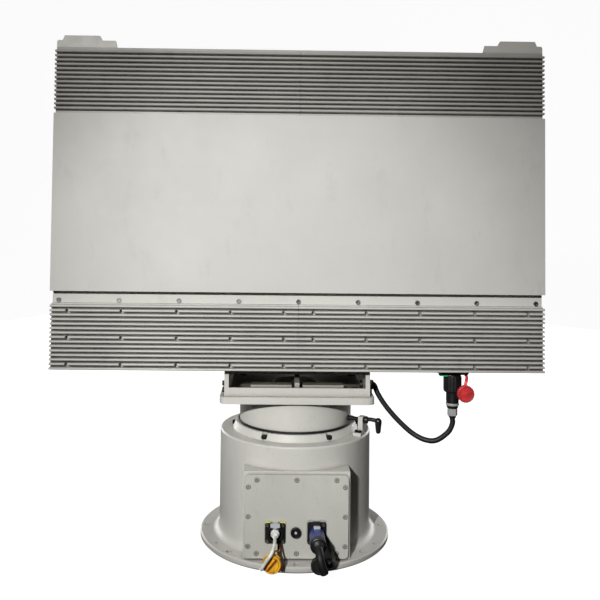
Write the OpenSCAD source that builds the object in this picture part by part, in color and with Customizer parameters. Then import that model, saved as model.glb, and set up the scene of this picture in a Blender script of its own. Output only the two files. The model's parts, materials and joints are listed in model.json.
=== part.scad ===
// Flat panel radar antenna on a rotating pedestal.
// Front is -Y, up is +Z, and the origin is the centre of the base flange's underside.

/* [Base flange] */
// Diameter of the base flange
flange_d = 290; // [280:1:310]
// Thickness of the base flange
flange_t = 9; // [8:0.5:11]
// Pitch circle of the deck bolts
deck_pcd = 270; // [266:1:272]
// Diameter of each deck bolt hole
deck_hole_d = 9; // [7:0.5:10]

/* [Pedestal] */
// Outer diameter of the pedestal body
body_d = 232; // [230:1:236]
// Height of the shoulder that carries the retainer ring
shoulder_z = 162.5; // [160:0.5:175]
// Wall of the pedestal body
body_wall = 8; // [6:0.5:8]
// Width of the hatch cover on the front
hatch_w = 145; // [140:1:150]
// Height of the hatch cover
hatch_h = 115; // [110:1:118]

/* [Turret] */
// Outer diameter of the rotating neck
neck_d = 173; // [172:0.5:174]
// Width of the turntable plate
plate_w = 225; // [222:1:235]
// Depth of the turntable plate
plate_depth = 190; // [185:1:200]
// Number of bearing balls
ball_count = 40; // [24:1:56]

/* [Panel] */
// Width of the antenna panel over its heat sinks
panel_w = 709; // [700:1:760]
// Height of the antenna panel without its top brackets
panel_h = 464; // [455:1:480]
// Depth of the panel chassis behind the heat sinks
chassis_depth = 150; // [140:1:170]
// Distance between two neighbouring fins
fin_pitch = 6.35; // [6.1:0.05:6.5]
// Thickness of one fin
fin_t = 3.4; // [3:0.1:3.8]
// Height of a fin above its base slab
fin_h = 9; // [6:0.5:9]

/* [Azimuth lock] */
// Direction of the lock as seen from above
lock_angle = -25; // [-32:1:-20]
// Height of the lock screw's axis
lock_z = 184; // [182:0.5:186]

/* [Hidden] */
$fn = 64;
eps = 0.05;

// Colours of the finishes
paint = [0.80, 0.80, 0.77];
steel = [0.62, 0.62, 0.60];
black = [0.08, 0.08, 0.09];
board_green = [0.10, 0.34, 0.20];

// Base flange and pedestal body
flange_r = flange_d / 2;
flange_chamfer = 2;
deck_count = 8;
deck_pcr = deck_pcd / 2;
jack_hole_r = 2.6;
jack_angles = [30, 150, 210, 330];
body_r = body_d / 2;
body_in = body_r - body_wall;
body_fillet = 11;
shoulder_fillet = 3;
recess_r = body_r + 2;
recess_h = 4.5;
bottom_screw_r = body_r - body_wall / 2;
bottom_screw_count = 8;
bottom_screw_start = 22.5;
deck_plate_z = shoulder_z - 28;

// Hatch boss and cover on the front
hatch_z0 = 11;
boss_face = -118;
boss_wrap = 60;
boss_w = hatch_w + 5;
boss_top = hatch_z0 + hatch_h + 4;
gasket_t = 1;
hatch_t = 4;
hatch_corner = 5.6;
hatch_z = hatch_z0 + hatch_h / 2;
cover_front = boss_face - gasket_t - hatch_t;
opening_w = hatch_w - 26;
opening_h = hatch_h - 26;
opening_corner = 6;
screw3_r = 1.5;
screw3_head_r = 2.9;
screw3_head_h = 2.2;
screw3_len = 11;
screw_fit = 0.05;
hatch_cbore_r = 3.5;
hatch_cbore_h = 3;
row_x = hatch_w * 0.386;
row_z = hatch_h / 2 - 7;
col_x = hatch_w / 2 - 4.5;
col_z = hatch_h * 0.355;
hatch_holes = concat(
    [for (x = [-row_x, 0, row_x], z = [-row_z, row_z]) [x, hatch_z + z]],
    [for (x = [-col_x, col_x], z = [-col_z, 0, col_z]) [x, hatch_z + z]]
);

// Sockets on the hatch cover
socket_z = 47;
network_x = -30;
vent_x = -1;
power_x = 28;
socket_plate = 28;
socket_plate_t = 3;
socket_plate_front = cover_front - socket_plate_t;
socket_barrel_r = 11.5;
socket_barrel_len = 26;
socket_ring_r = 11;
socket_ring_len = 7;
socket_bore_r = 8.5;
network_plug_r = 6.2;
network_boot_r = 4.6;
network_boot_len = 8;
network_cable_r = 2.4;
vent_r = 7.3;
vent_shank_r = 6;
cable_gap = 0.4;
harness_gap = 1.2;
socket_screw_off = 11;
power_plate_w = 26;
power_plate_h = 31;
power_screw_x = 9.5;
power_screw_z = 12;
screw2_r = 1.25;
screw2_head_r = 2.3;
screw2_head_h = 1.6;
screw2_len = 8;
plug_r = 10.4;
plug_len = 34;
plug_nut_len = 9;
plug_boot_r = 8.6;
plug_boot_len = 9;
power_cable_r = 5.5;

// Bearing
ball_r = 4;
ball_pcr = 80;
race_fit = 0.06;
bearing_h = 16;
bearing_z = shoulder_z - 20.5;
outer_race_r = 90;
inner_race_r = 70;
land_gap = 2;

// Retainer ring and its seal
ring_h = 10.1;
ring_base_r = 97;
ring_top_r = 92.5;
ring_in_r = 88.6;
seal_lip = 3.2;
ring_screw_pcr = 94;
ring_screw_count = 6;
ring_cbore_r = 4.8;
screw4_r = 2;
screw4_head_r = 2.9;
screw4_head_h = 2.2;
screw5_r = 2.5;
screw5_head_r = 4.25;
screw5_head_h = 5;

// Neck
neck_r = neck_d / 2;
neck_top = 217;
neck_step_z = shoulder_z + 2;
neck_floor_z = 126;
neck_screw_pcr = 79;
neck_screw_count = 6;
screw6_r = 3;
screw6_head_r = 5;
screw6_head_h = 6;

// Gear drive
gear_module = 1.25;
gear_teeth = 96;
pinion_teeth = 16;
gear_t = 10;
gear_z = neck_floor_z - gear_t;
gear_pitch_r = gear_module * gear_teeth / 2;
pinion_pitch_r = gear_module * pinion_teeth / 2;
drive_x = gear_pitch_r + pinion_pitch_r;
gear_in_r = 32;
gear_screw_pcr = 45;
motor_r = 27;
motor_h = 62;
motor_spigot_r = 12.9;
motor_screw_pcr = 20;
motor_screw_r = 2.2;
bracket_z = 104;
bracket_t = 6;
motor_shaft_r = 4;
shaft_depth = 12;
bracket_posts = [[92, 20], [92, -20], [58, 70], [58, -70]];
bracket_post_r = 4;

// Slip ring
slip_shaft_r = 12;
slip_body_r = 26;
slip_z0 = 60;
slip_z1 = 108;
slip_foot_r = 34;
slip_disc_r = 40;
slip_screw_pcr = 35;
slip_screw_r = 1.6;

// Turntable plate and mounting frame
plate_t = 10;
plate_z = neck_top;
frame_w = 212;
frame_depth = 176;
frame_z = plate_z + plate_t;
frame_h = 35;
frame_wall = 6.5;
frame_floor = 4;
lip_h = 12.3;
frame_in = frame_w / 2 - frame_wall;
top_plate_z = frame_z + 30.5;
top_plate_t = 3.5;
cable_hole_r = 40;
frame_bolt_x = 85;
frame_bolt_y = 70;
pad_x = 80;
pad_y = [-60, 35];
pad_r = 12;
bolt8_r = 4;
side_bolt_y = -78;
side_bolt_z = [7, 17];
gland_y = -45;
gland_z = 236;
gland_r = 6;
gland_stub = 4;

// Panel
bottom_fins = 15;
top_fins = 14;
groove_h = 2;
top_gap_below = 5.8;
top_gap_above = 5.5;
bottom_fins_h = fin_pitch * (bottom_fins - 1) + fin_t;
top_fins_h = fin_pitch * (top_fins - 1) + fin_t;
sink_base_t = 5;
sink_seat = 1.5;
sink_head_r = 2.1;
chassis_front = -95;
fin_tip = chassis_front - sink_base_t - fin_h;
panel_z = frame_z + 40;
panel_top = panel_z + panel_h;
seam = 0.3;
chassis_w = panel_w - 5;
chassis_z = panel_z + 0.5;
chassis_top = panel_top - 0.5;
chassis_wall = 6;
chassis_rear = chassis_front + chassis_depth;
cold_front = chassis_front + 35;
cold_rear = cold_front + 8;
radome_face = chassis_front - 18;
radome_flange = chassis_front - 3;
radome_skin = 3.5;
radome_w = panel_w - 2;
strip_h = 18;
radome_z = panel_z + bottom_fins_h + groove_h;
top_sink_h = top_gap_below + top_fins_h + top_gap_above;
radome_top = panel_top - top_sink_h - seam;
strip_screw_z = radome_z + 4.2;
strip_pitch = (radome_w - 18) / 8;
sink_rows = [1, 7, 13];
sink_columns = [21, 97, 174, 253, 330];
bay_z0 = radome_z + 12;
bay_z1 = radome_top - 4;
rear_t = 5;
rear_screw_in = 12;
rear_screw_edge = 3;
bracket_screws = [24, 72];
bracket_screw_y = chassis_front + 16;
bracket_foot_t = 3;
plug_x = 229;
plug_y = -76;
plug_bottom = chassis_z - 72;
jack_flange_t = 7;
jumper_plug_r = 9.3;
jumper_boot_r = 7.6;
jumper_r = 3.85;

// Azimuth lock
lock_gap = 1;
lock_block_x = 105.5;
lock_block_t = 7;
lock_pin_r = 3;
lock_screw_r = 4;
lock_fit = 0.05;
lock_foot_t = 5;
lock_foot_y = -12;
lock_foot_screws = [lock_block_x - 0.5, lock_block_x + 4.8];

// Point on a smooth curve through b and c, with a and d as its neighbours
function curve_point(a, b, c, d, t) =
    0.5 * (2 * b + (c - a) * t + (2 * a - 5 * b + 4 * c - d) * t * t
    + (3 * b - a - 3 * c + d) * t * t * t);

// Evenly stepped points on a smooth curve through the given points
function smooth_path(p, steps) = let (n = len(p)) concat(
    [for (i = [0 : n - 2], s = [0 : steps - 1])
        curve_point(p[max(i - 1, 0)], p[i], p[i + 1], p[min(i + 2, n - 1)], s / steps)],
    [p[n - 1]]
);

function unit(v) = v / norm(v);

// Closed round tube along a path
module cable_run(points, r, steps = 6, sides = 14) {
    path = smooth_path(points, steps);
    n = len(path);
    guide = unit([0.35, 1, 0.2]);
    rings = [for (i = [0 : n - 1])
        let (
            t = unit(path[min(i + 1, n - 1)] - path[max(i - 1, 0)]),
            u = unit(cross(guide, t)),
            v = cross(t, u)
        )
        for (k = [0 : sides - 1])
            path[i] + r * (cos(360 * k / sides) * u + sin(360 * k / sides) * v)];
    walls = [for (i = [0 : n - 2], k = [0 : sides - 1])
        let (m = (k + 1) % sides)
        [i * sides + k, (i + 1) * sides + k, (i + 1) * sides + m, i * sides + m]];
    ends = [
        [for (k = [0 : sides - 1]) k],
        [for (k = [sides - 1 : -1 : 0]) (n - 1) * sides + k]
    ];
    polyhedron(points = rings, faces = concat(walls, ends), convexity = 6);
}

module rounded_rect(w, h, r) {
    square([w - 2 * r, h], center = true);
    square([w, h - 2 * r], center = true);
    for (x = [-1, 1], y = [-1, 1])
        translate([x * (w / 2 - r), y * (h / 2 - r)])
            circle(r);
}

// Extrudes a flat shape drawn in X and Z from y towards the front
module towards_front(x, y, z, depth) {
    translate([x, y, z])
        rotate([90, 0, 0])
            linear_extrude(depth)
                children();
}

// Extrudes a flat shape drawn in Y and Z along X from x0 to x1
module along_x(x0, x1) {
    translate([x0, 0, 0])
        rotate([90, 0, 90])
            linear_extrude(x1 - x0)
                children();
}

// Cylinder from y towards the front
module rod_front(x, y, z, r, depth) {
    translate([x, y, z])
        rotate([90, 0, 0])
            cylinder(r = r, h = depth);
}

// Cap screw with its head on z = 0 and its shank below
module cap_screw(r, head_r, head_h, length) {
    difference() {
        cylinder(r = head_r, h = head_h);
        translate([0, 0, head_h * 0.4])
            cylinder(r = head_r * 0.55, h = head_h, $fn = 6);
    }
    translate([0, 0, -length])
        cylinder(r = r, h = length + eps);
}

module around(count, radius, start = 0) {
    for (i = [0 : count - 1])
        rotate([0, 0, start + i * 360 / count])
            translate([radius, 0, 0])
                children();
}

module spur_gear(teeth, thickness) {
    pitch_r = gear_module * teeth / 2;
    tip_r = pitch_r + gear_module * 0.8;
    root_r = pitch_r - gear_module * 1.15;
    step = 360 / teeth;
    linear_extrude(thickness)
        polygon([for (i = [0 : teeth - 1], k = [
            [-0.31, root_r], [-0.21, pitch_r], [-0.11, tip_r],
            [0.11, tip_r], [0.21, pitch_r], [0.31, root_r]
        ]) k[1] * [cos((i + k[0]) * step), sin((i + k[0]) * step)]]);
}

module deck_holes(z, h) {
    translate([0, 0, z])
        around(deck_count, deck_pcr)
            cylinder(d = deck_hole_d, h = h);
    for (a = jack_angles)
        rotate([0, 0, a])
            translate([deck_pcr - 1, 0, z])
                cylinder(r = jack_hole_r, h = h);
}

module pedestal_shell() {
    fillet_top = flange_t + body_fillet;
    rotate_extrude($fn = 128)
        difference() {
            union() {
                polygon([
                    [body_in, 0], [flange_r - flange_chamfer, 0], [flange_r, flange_chamfer],
                    [flange_r, flange_t - flange_chamfer], [flange_r - flange_chamfer, flange_t],
                    [body_r + body_fillet, flange_t], [body_r + body_fillet / 3, flange_t + body_fillet / 3],
                    [body_r, fillet_top], [body_r, shoulder_z - shoulder_fillet],
                    [body_r - shoulder_fillet, shoulder_z], [outer_race_r + screw_fit, shoulder_z],
                    [outer_race_r + screw_fit, bearing_z], [outer_race_r - 5, bearing_z],
                    [outer_race_r - 5, deck_plate_z], [body_in, deck_plate_z]
                ]);
                translate([body_r - shoulder_fillet, shoulder_z - shoulder_fillet])
                    circle(shoulder_fillet);
            }
            translate([0, -1])
                square([recess_r, recess_h + 1]);
            translate([body_r + body_fillet, fillet_top])
                circle(body_fillet);
        }
}

module pedestal_housing() {
    color(paint)
        difference() {
            union() {
                pedestal_shell();
                difference() {
                    translate([-boss_w / 2, boss_face, flange_t - eps])
                        cube([boss_w, -boss_face, boss_top - flange_t]);
                    translate([0, 0, -1])
                        cylinder(r = body_in + 1, h = shoulder_z, $fn = 128);
                }
            }
            towards_front(0, boss_face + boss_wrap, hatch_z, boss_wrap + 1)
                rounded_rect(opening_w, opening_h, opening_corner);
            translate([-boss_w / 2, boss_face - body_fillet, flange_t])
                cube([boss_w, body_fillet, body_fillet + 1]);
            deck_holes(-1, flange_t + 2);
            translate([0, 0, recess_h - 1])
                around(bottom_screw_count, bottom_screw_r, bottom_screw_start)
                    cylinder(r = screw3_r + screw_fit, h = screw3_len - 2);
            for (p = hatch_holes)
                rod_front(p[0], boss_face + 9, p[1], screw3_r + screw_fit, 10);
            translate([0, 0, shoulder_z - 14])
                around(ring_screw_count, ring_screw_pcr)
                    cylinder(r = screw5_r + screw_fit, h = 15);
            rotate([0, 0, lock_angle])
                for (x = lock_foot_screws)
                    translate([x, lock_foot_y, shoulder_z - 8])
                        cylinder(r = screw3_r + screw_fit, h = 9);
        }
}

module base_plate() {
    color(paint)
        union() {
            difference() {
                translate([0, 0, 0.3])
                    cylinder(r = recess_r - 0.3, h = recess_h - 0.3, $fn = 128);
                translate([0, 0, -1])
                    around(bottom_screw_count, bottom_screw_r, bottom_screw_start)
                        cylinder(r = screw3_r + screw_fit, h = recess_h + 2);
                translate([0, 0, -1])
                    around(bottom_screw_count, bottom_screw_r, bottom_screw_start)
                        cylinder(r = screw3_head_r + 0.2, h = 3.6);
            }
            for (x = [-88, -42], y = [-42, 42])
                translate([x, y, recess_h - eps])
                    cylinder(r = 3.5, h = 16);
        }
}

module cover_screws() {
    color(steel)
        union() {
            for (p = hatch_holes)
                translate([p[0], cover_front + hatch_cbore_h, p[1]])
                    rotate([90, 0, 0])
                        cap_screw(screw3_r, screw3_head_r, screw3_head_h, screw3_len - 2);
            translate([0, 0, 2.6])
                around(bottom_screw_count, bottom_screw_r, bottom_screw_start)
                    rotate([180, 0, 0])
                        cap_screw(screw3_r, screw3_head_r, screw3_head_h, screw3_len - 2);
        }
}

module hatch_gasket() {
    color(black)
        difference() {
            towards_front(0, boss_face, hatch_z, gasket_t)
                difference() {
                    rounded_rect(hatch_w - 0.6, hatch_h - 0.6, hatch_corner);
                    rounded_rect(opening_w, opening_h, opening_corner);
                }
            for (p = hatch_holes)
                rod_front(p[0], boss_face + 1, p[1], screw3_r + 0.2, gasket_t + 2);
        }
}

module hatch_cover() {
    color(paint)
        difference() {
            towards_front(0, boss_face - gasket_t, hatch_z, hatch_t)
                rounded_rect(hatch_w, hatch_h, hatch_corner);
            for (p = hatch_holes) {
                rod_front(p[0], boss_face, p[1], screw3_r + 0.1, hatch_t + 3);
                rod_front(p[0], cover_front + hatch_cbore_h, p[1], hatch_cbore_r, hatch_t);
            }
            for (x = [network_x, power_x])
                rod_front(x, boss_face, socket_z, socket_barrel_r + 0.1, hatch_t + 3);
            rod_front(vent_x, boss_face, socket_z, vent_shank_r + 0.1, hatch_t + 3);
            for (x = [-1, 1], z = [-1, 1])
                rod_front(network_x + x * socket_screw_off, boss_face, socket_z + z * socket_screw_off,
                    screw2_r + screw_fit, hatch_t + 3);
            for (s = [-1, 1])
                rod_front(power_x + s * power_screw_x, boss_face, socket_z + s * power_screw_z,
                    screw2_r + screw_fit, hatch_t + 3);
        }
}

module network_socket() {
    color(black)
        difference() {
            union() {
                towards_front(network_x, cover_front, socket_z, socket_plate_t)
                    rounded_rect(socket_plate, socket_plate, 3);
                rod_front(network_x, cover_front + socket_barrel_len, socket_z,
                    socket_barrel_r, socket_barrel_len + eps);
                rod_front(network_x, cover_front, socket_z, socket_ring_r, socket_ring_len);
            }
            rod_front(network_x, cover_front + 12, socket_z, socket_bore_r, 30);
            for (x = [-1, 1], z = [-1, 1])
                rod_front(network_x + x * socket_screw_off, cover_front + 1,
                    socket_z + z * socket_screw_off, screw2_r + screw_fit, socket_plate_t + 2);
            translate([network_x - 4.2, socket_plate_front - 10, socket_z + 7])
                cube([8.4, 16, 10]);
        }
}

module network_latch() {
    color([0.86, 0.88, 0.92])
        translate([network_x - 4, socket_plate_front - 7, socket_z + 8.7])
            difference() {
                cube([8, 6.8, 3.6]);
                translate([2, 2, 2.8])
                    cube([4, 3, 2]);
            }
}

module network_plug() {
    color([0.85, 0.85, 0.84])
        union() {
            rod_front(network_x, cover_front + 11.5, socket_z, network_plug_r, 20);
            rod_front(network_x, cover_front - 8, socket_z, network_boot_r, network_boot_len);
        }
}

module network_cable() {
    y0 = cover_front - 8 - network_boot_len - cable_gap;
    color([0.85, 0.85, 0.84])
        cable_run([
            [network_x, y0, socket_z], [network_x, y0 - 4, socket_z - 0.2],
            [network_x - 1, y0 - 11, socket_z - 5], [network_x - 4, y0 - 15.5, socket_z - 14],
            [network_x - 11, y0 - 17.5, socket_z - 24], [network_x - 17.5, y0 - 18.5, socket_z - 32]
        ], network_cable_r);
}

module network_dust_cap() {
    cap_y = -143.5;
    color([0.86, 0.62, 0.12])
        union() {
            rod_front(network_x - 4, cap_y, 13.2, 12.4, 7);
            cable_run([
                [network_x + 8, cover_front - 1.6, socket_z - 16.5],
                [network_x + 5, cover_front - 9, socket_z - 20],
                [network_x + 1, cap_y - 2.5, socket_z - 26],
                [network_x - 2, cap_y - 3.5, 22]
            ], 1.5, 3, 8);
        }
}

module power_socket() {
    color(black)
        difference() {
            union() {
                towards_front(power_x, cover_front, socket_z, socket_plate_t)
                    rounded_rect(power_plate_w, power_plate_h, 3);
                rod_front(power_x, cover_front + socket_barrel_len, socket_z,
                    socket_barrel_r, socket_barrel_len + eps);
            }
            for (s = [-1, 1])
                rod_front(power_x + s * power_screw_x, cover_front + 1, socket_z + s * power_screw_z,
                    screw2_r + screw_fit, socket_plate_t + 2);
        }
}

module power_plug() {
    plug_y0 = socket_plate_front;
    union() {
        color([0.16, 0.22, 0.55])
            difference() {
                rod_front(power_x, plug_y0, socket_z, plug_r, plug_len);
                translate([power_x - 4.7, plug_y0 - 16, socket_z + 7.5])
                    cube([9.4, 15.5, 6]);
            }
        color(black)
            union() {
                rod_front(power_x, plug_y0 - plug_len, socket_z, plug_r + 0.8, plug_nut_len);
                rod_front(power_x, plug_y0 - plug_len - plug_nut_len, socket_z, plug_boot_r, plug_boot_len);
            }
    }
}

module power_latch() {
    color(steel)
        translate([power_x - 4.5, socket_plate_front - 10.7, socket_z + 7.6])
            union() {
                cube([9, 10, 3.4]);
                translate([0, 0, 3.3])
                    cube([9, 3, 2]);
            }
}

module power_cable() {
    y0 = socket_plate_front - plug_len - plug_nut_len - plug_boot_len - cable_gap;
    color(black)
        cable_run([
            [power_x, y0, socket_z], [power_x, y0 - 4, socket_z - 0.3],
            [power_x + 1, y0 - 10, socket_z - 6], [power_x + 3, y0 - 12, socket_z - 14],
            [power_x + 7, y0 - 11, socket_z - 26]
        ], power_cable_r);
}

module power_dust_cap() {
    cap_y = -147;
    color(black)
        union() {
            rod_front(power_x + 3, cap_y, 14, 12, 7);
            cable_run([
                [power_x + 15, cover_front - 2, socket_z - 8],
                [power_x + 18, cover_front - 9, socket_z - 15],
                [power_x + 22, cap_y - 2, socket_z - 24],
                [power_x + 19, cap_y - 3.5, 14],
                [power_x + 10, cap_y - 3.5, 13]
            ], 1.8, 3, 8);
        }
}

module socket_screws() {
    color(steel)
        union() {
            for (x = [-1, 1], z = [-1, 1])
                translate([network_x + x * socket_screw_off, socket_plate_front,
                    socket_z + z * socket_screw_off])
                    rotate([90, 0, 0])
                        cap_screw(screw2_r, screw2_head_r, screw2_head_h, screw2_len);
            for (s = [-1, 1])
                translate([power_x + s * power_screw_x, socket_plate_front, socket_z + s * power_screw_z])
                    rotate([90, 0, 0])
                        cap_screw(screw2_r, screw2_head_r, screw2_head_h, screw2_len);
        }
}

module vent_plug() {
    color(black)
        union() {
            difference() {
                rod_front(vent_x, cover_front, socket_z, vent_r, 4);
                rod_front(vent_x, cover_front - 2.5, socket_z, 5.4, 4);
            }
            rod_front(vent_x, cover_front - 2, socket_z, 2.2, 1.6);
            rod_front(vent_x, cover_front + 10, socket_z, vent_shank_r, 10 + eps);
        }
}

module race_ring(r_in, r_out, groove_r) {
    rotate_extrude($fn = 128)
        difference() {
            translate([r_in, bearing_z])
                square([r_out - r_in, bearing_h]);
            translate([ball_pcr, bearing_z + bearing_h / 2])
                circle(groove_r);
        }
}

module bearing_outer_race() {
    color(steel)
        race_ring(ball_pcr + land_gap, outer_race_r, ball_r + race_fit);
}

module bearing_inner_race() {
    color(steel)
        race_ring(inner_race_r + screw_fit, ball_pcr - land_gap, ball_r + race_fit);
}

module bearing_balls() {
    color([0.8, 0.8, 0.82])
        translate([0, 0, bearing_z + bearing_h / 2])
            around(ball_count, ball_pcr)
                sphere(r = ball_r, $fn = 48);
}

module retainer_ring() {
    color(paint)
        difference() {
            rotate_extrude($fn = 128)
                polygon([
                    [ring_in_r, shoulder_z - 4.5], [outer_race_r - 0.1, shoulder_z - 4.5],
                    [outer_race_r - 0.1, shoulder_z], [ring_base_r, shoulder_z],
                    [ring_top_r, shoulder_z + ring_h], [ring_in_r, shoulder_z + ring_h]
                ]);
            translate([0, 0, shoulder_z + 2])
                around(ring_screw_count, ring_screw_pcr)
                    cylinder(r = ring_cbore_r, h = ring_h);
            translate([0, 0, shoulder_z - 1])
                around(ring_screw_count, ring_screw_pcr)
                    cylinder(r = screw5_r + screw_fit, h = ring_h);
        }
}

module retainer_screws() {
    color(black)
        translate([0, 0, shoulder_z + 2])
            around(ring_screw_count, ring_screw_pcr)
                cap_screw(screw5_r, screw5_head_r, screw5_head_h, 14);
}

module shaft_seal() {
    color(black)
        translate([0, 0, shoulder_z + 4])
            difference() {
                cylinder(r = ring_in_r, h = ring_h - 4 + seal_lip, $fn = 128);
                translate([0, 0, -1])
                    cylinder(r = neck_r + 0.08, h = ring_h + seal_lip, $fn = 128);
            }
}

module motor_bracket() {
    color(steel)
        difference() {
            union() {
                intersection() {
                    translate([drive_x - 2, 0, bracket_z])
                        linear_extrude(bracket_t)
                            rounded_rect(60, 156, 8);
                    cylinder(r = body_in - 2, h = shoulder_z, $fn = 128);
                }
                for (p = bracket_posts)
                    translate([p[0], p[1], bracket_z])
                        cylinder(r = bracket_post_r, h = deck_plate_z - bracket_z);
            }
            translate([drive_x, 0, bracket_z - 1])
                cylinder(r = motor_spigot_r + 0.1, h = bracket_t + 2);
            translate([drive_x, 0, bracket_z - 1])
                around(4, motor_screw_pcr, 45)
                    cylinder(r = motor_screw_r, h = bracket_t + 2);
        }
}

module drive_motor() {
    color([0.2, 0.2, 0.22])
        translate([drive_x, 0, bracket_z])
            difference() {
                union() {
                    translate([0, 0, -motor_h])
                        cylinder(r = motor_r, h = motor_h);
                    cylinder(r = motor_spigot_r, h = 3);
                    translate([0, 0, -motor_h - 14])
                        cylinder(r = 16, h = 14 + eps);
                }
                translate([0, 0, -shaft_depth - 1])
                    cylinder(r = motor_shaft_r + screw_fit, h = shaft_depth + 5);
            }
}

module motor_pinion() {
    color(steel)
        translate([drive_x, 0, gear_z - 1])
            union() {
                rotate([0, 0, 180 / pinion_teeth])
                    spur_gear(pinion_teeth, gear_t + 0.5);
                translate([0, 0, bracket_z - shaft_depth - gear_z + 1])
                    cylinder(r = motor_shaft_r, h = gear_z - bracket_z + shaft_depth);
            }
}

module slip_ring_stator() {
    color([0.75, 0.75, 0.78])
        difference() {
            union() {
                translate([0, 0, slip_z0])
                    cylinder(r = slip_body_r, h = slip_z1 - slip_z0);
                translate([0, 0, recess_h])
                    cylinder(r = slip_body_r - 4, h = slip_z0 - recess_h + eps);
                translate([0, 0, recess_h])
                    cylinder(r = slip_foot_r, h = 4);
            }
            translate([0, 0, slip_z0 + 2])
                cylinder(r = slip_shaft_r + 0.4, h = slip_z1);
            translate([0, 0, recess_h - 1])
                cylinder(r = slip_body_r - 8, h = slip_z0 - recess_h - 4);
            for (a = [0, 180])
                rotate([0, 0, a + 90])
                    translate([slip_body_r - 12, -8, recess_h + 10])
                        cube([16, 16, 30]);
        }
}

module slip_ring_rotor() {
    color([0.8, 0.66, 0.36])
        difference() {
            union() {
                translate([0, 0, slip_z0 + 4])
                    cylinder(r = slip_shaft_r, h = neck_floor_z + 8 - slip_z0);
                translate([0, 0, neck_floor_z + 8])
                    cylinder(r = slip_disc_r, h = 4);
            }
            translate([0, 0, slip_z0 + 20])
                cylinder(r = 7, h = 100);
            translate([0, 0, neck_floor_z])
                around(4, slip_screw_pcr, 45)
                    cylinder(r = slip_screw_r + 0.6, h = 20);
        }
}

module control_board() {
    board_z = recess_h + 16;
    // Each component's corner and size: x, y, width, depth, height
    components = [
        [-86, -22, 22, 14, 12], [-60, -20, 16, 20, 18],
        [-86, 4, 20, 26, 9], [-60, 6, 18, 22, 14]
    ];
    union() {
        color(board_green)
            difference() {
                translate([-94, -48, board_z])
                    cube([58, 96, 1.6]);
                translate([0, 0, -1])
                    cylinder(r = slip_body_r + 6, h = 200);
            }
        color([0.2, 0.2, 0.22])
            for (p = components)
                translate([p[0], p[1], board_z + 1.5])
                    cube([p[2], p[3], p[4]]);
    }
}

module pedestal_harness() {
    back_y = cover_front + socket_barrel_len + harness_gap;
    color(black)
        union() {
            cable_run([
                [network_x, back_y, socket_z], [network_x - 0.2, back_y + 4, socket_z],
                [network_x - 6, back_y + 12, socket_z - 2], [network_x - 25, back_y + 24, 44],
                [-66, -54, 38], [-70, -44, 27]
            ], 3, 4, 10);
            cable_run([
                [power_x, back_y, socket_z], [power_x + 0.2, back_y + 4, socket_z],
                [power_x + 4, back_y + 13, socket_z - 4],
                [power_x + 12, back_y + 30, 30], [46, -42, 18], [30, -46, 10], [-10, -54, 12],
                [-44, -60, 20], [-54, -57, 31], [-55, -46, 36], [-55, -40, 28]
            ], 3.5, 4, 10);
        }
}

module in_lock_direction() {
    rotate([0, 0, lock_angle])
        children();
}

module lock_bracket() {
    block_top = lock_z + 5;
    color(paint)
        in_lock_direction()
            difference() {
                union() {
                    translate([lock_block_x, -6, shoulder_z])
                        cube([lock_block_t, 12, block_top - shoulder_z]);
                    translate([lock_block_x - 4, -17, shoulder_z])
                        cube([12, 11 + eps, lock_foot_t]);
                }
                translate([lock_block_x - 1, 0, lock_z])
                    rotate([0, 90, 0])
                        cylinder(r = lock_screw_r + lock_fit, h = lock_block_t + 2);
                for (x = lock_foot_screws)
                    translate([x, lock_foot_y, shoulder_z - 1])
                        cylinder(r = screw3_r + screw_fit, h = lock_foot_t + 2);
            }
}

module lock_bracket_screws() {
    color(black)
        in_lock_direction()
            for (x = lock_foot_screws)
                translate([x, lock_foot_y, shoulder_z + lock_foot_t])
                    cap_screw(screw3_r, 2.55, 3, 12);
}

module lock_pin() {
    color([0.15, 0.15, 0.16])
        in_lock_direction()
            translate([neck_r + lock_gap, 0, lock_z])
                rotate([0, 90, 0])
                    union() {
                        cylinder(r = lock_pin_r, h = lock_block_x - 3 - neck_r - lock_gap);
                        cylinder(r = lock_pin_r + 1.2, h = 2.5);
                    }
}

module lock_lever() {
    hub_x = lock_block_x + lock_block_t + 1.2;
    color(black)
        in_lock_direction()
            translate([0, 0, lock_z])
                union() {
                    translate([lock_block_x - 2.9, 0, 0])
                        rotate([0, 90, 0])
                            cylinder(r = lock_screw_r, h = hub_x - lock_block_x + 3);
                    translate([hub_x, 0, 0])
                        rotate([0, 90, 0])
                            cylinder(r = 5.5, h = 5);
                    hull() {
                        translate([hub_x + 4, 0, 1])
                            sphere(r = 2.6, $fn = 24);
                        translate([hub_x + 20, 0, 1])
                            sphere(r = 2.8, $fn = 24);
                    }
                    hull() {
                        translate([hub_x + 21, 0, -0.5])
                            sphere(r = 5.2, $fn = 24);
                        translate([hub_x + 22, 0, -14.5])
                            sphere(r = 3.4, $fn = 24);
                    }
                }
}

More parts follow.
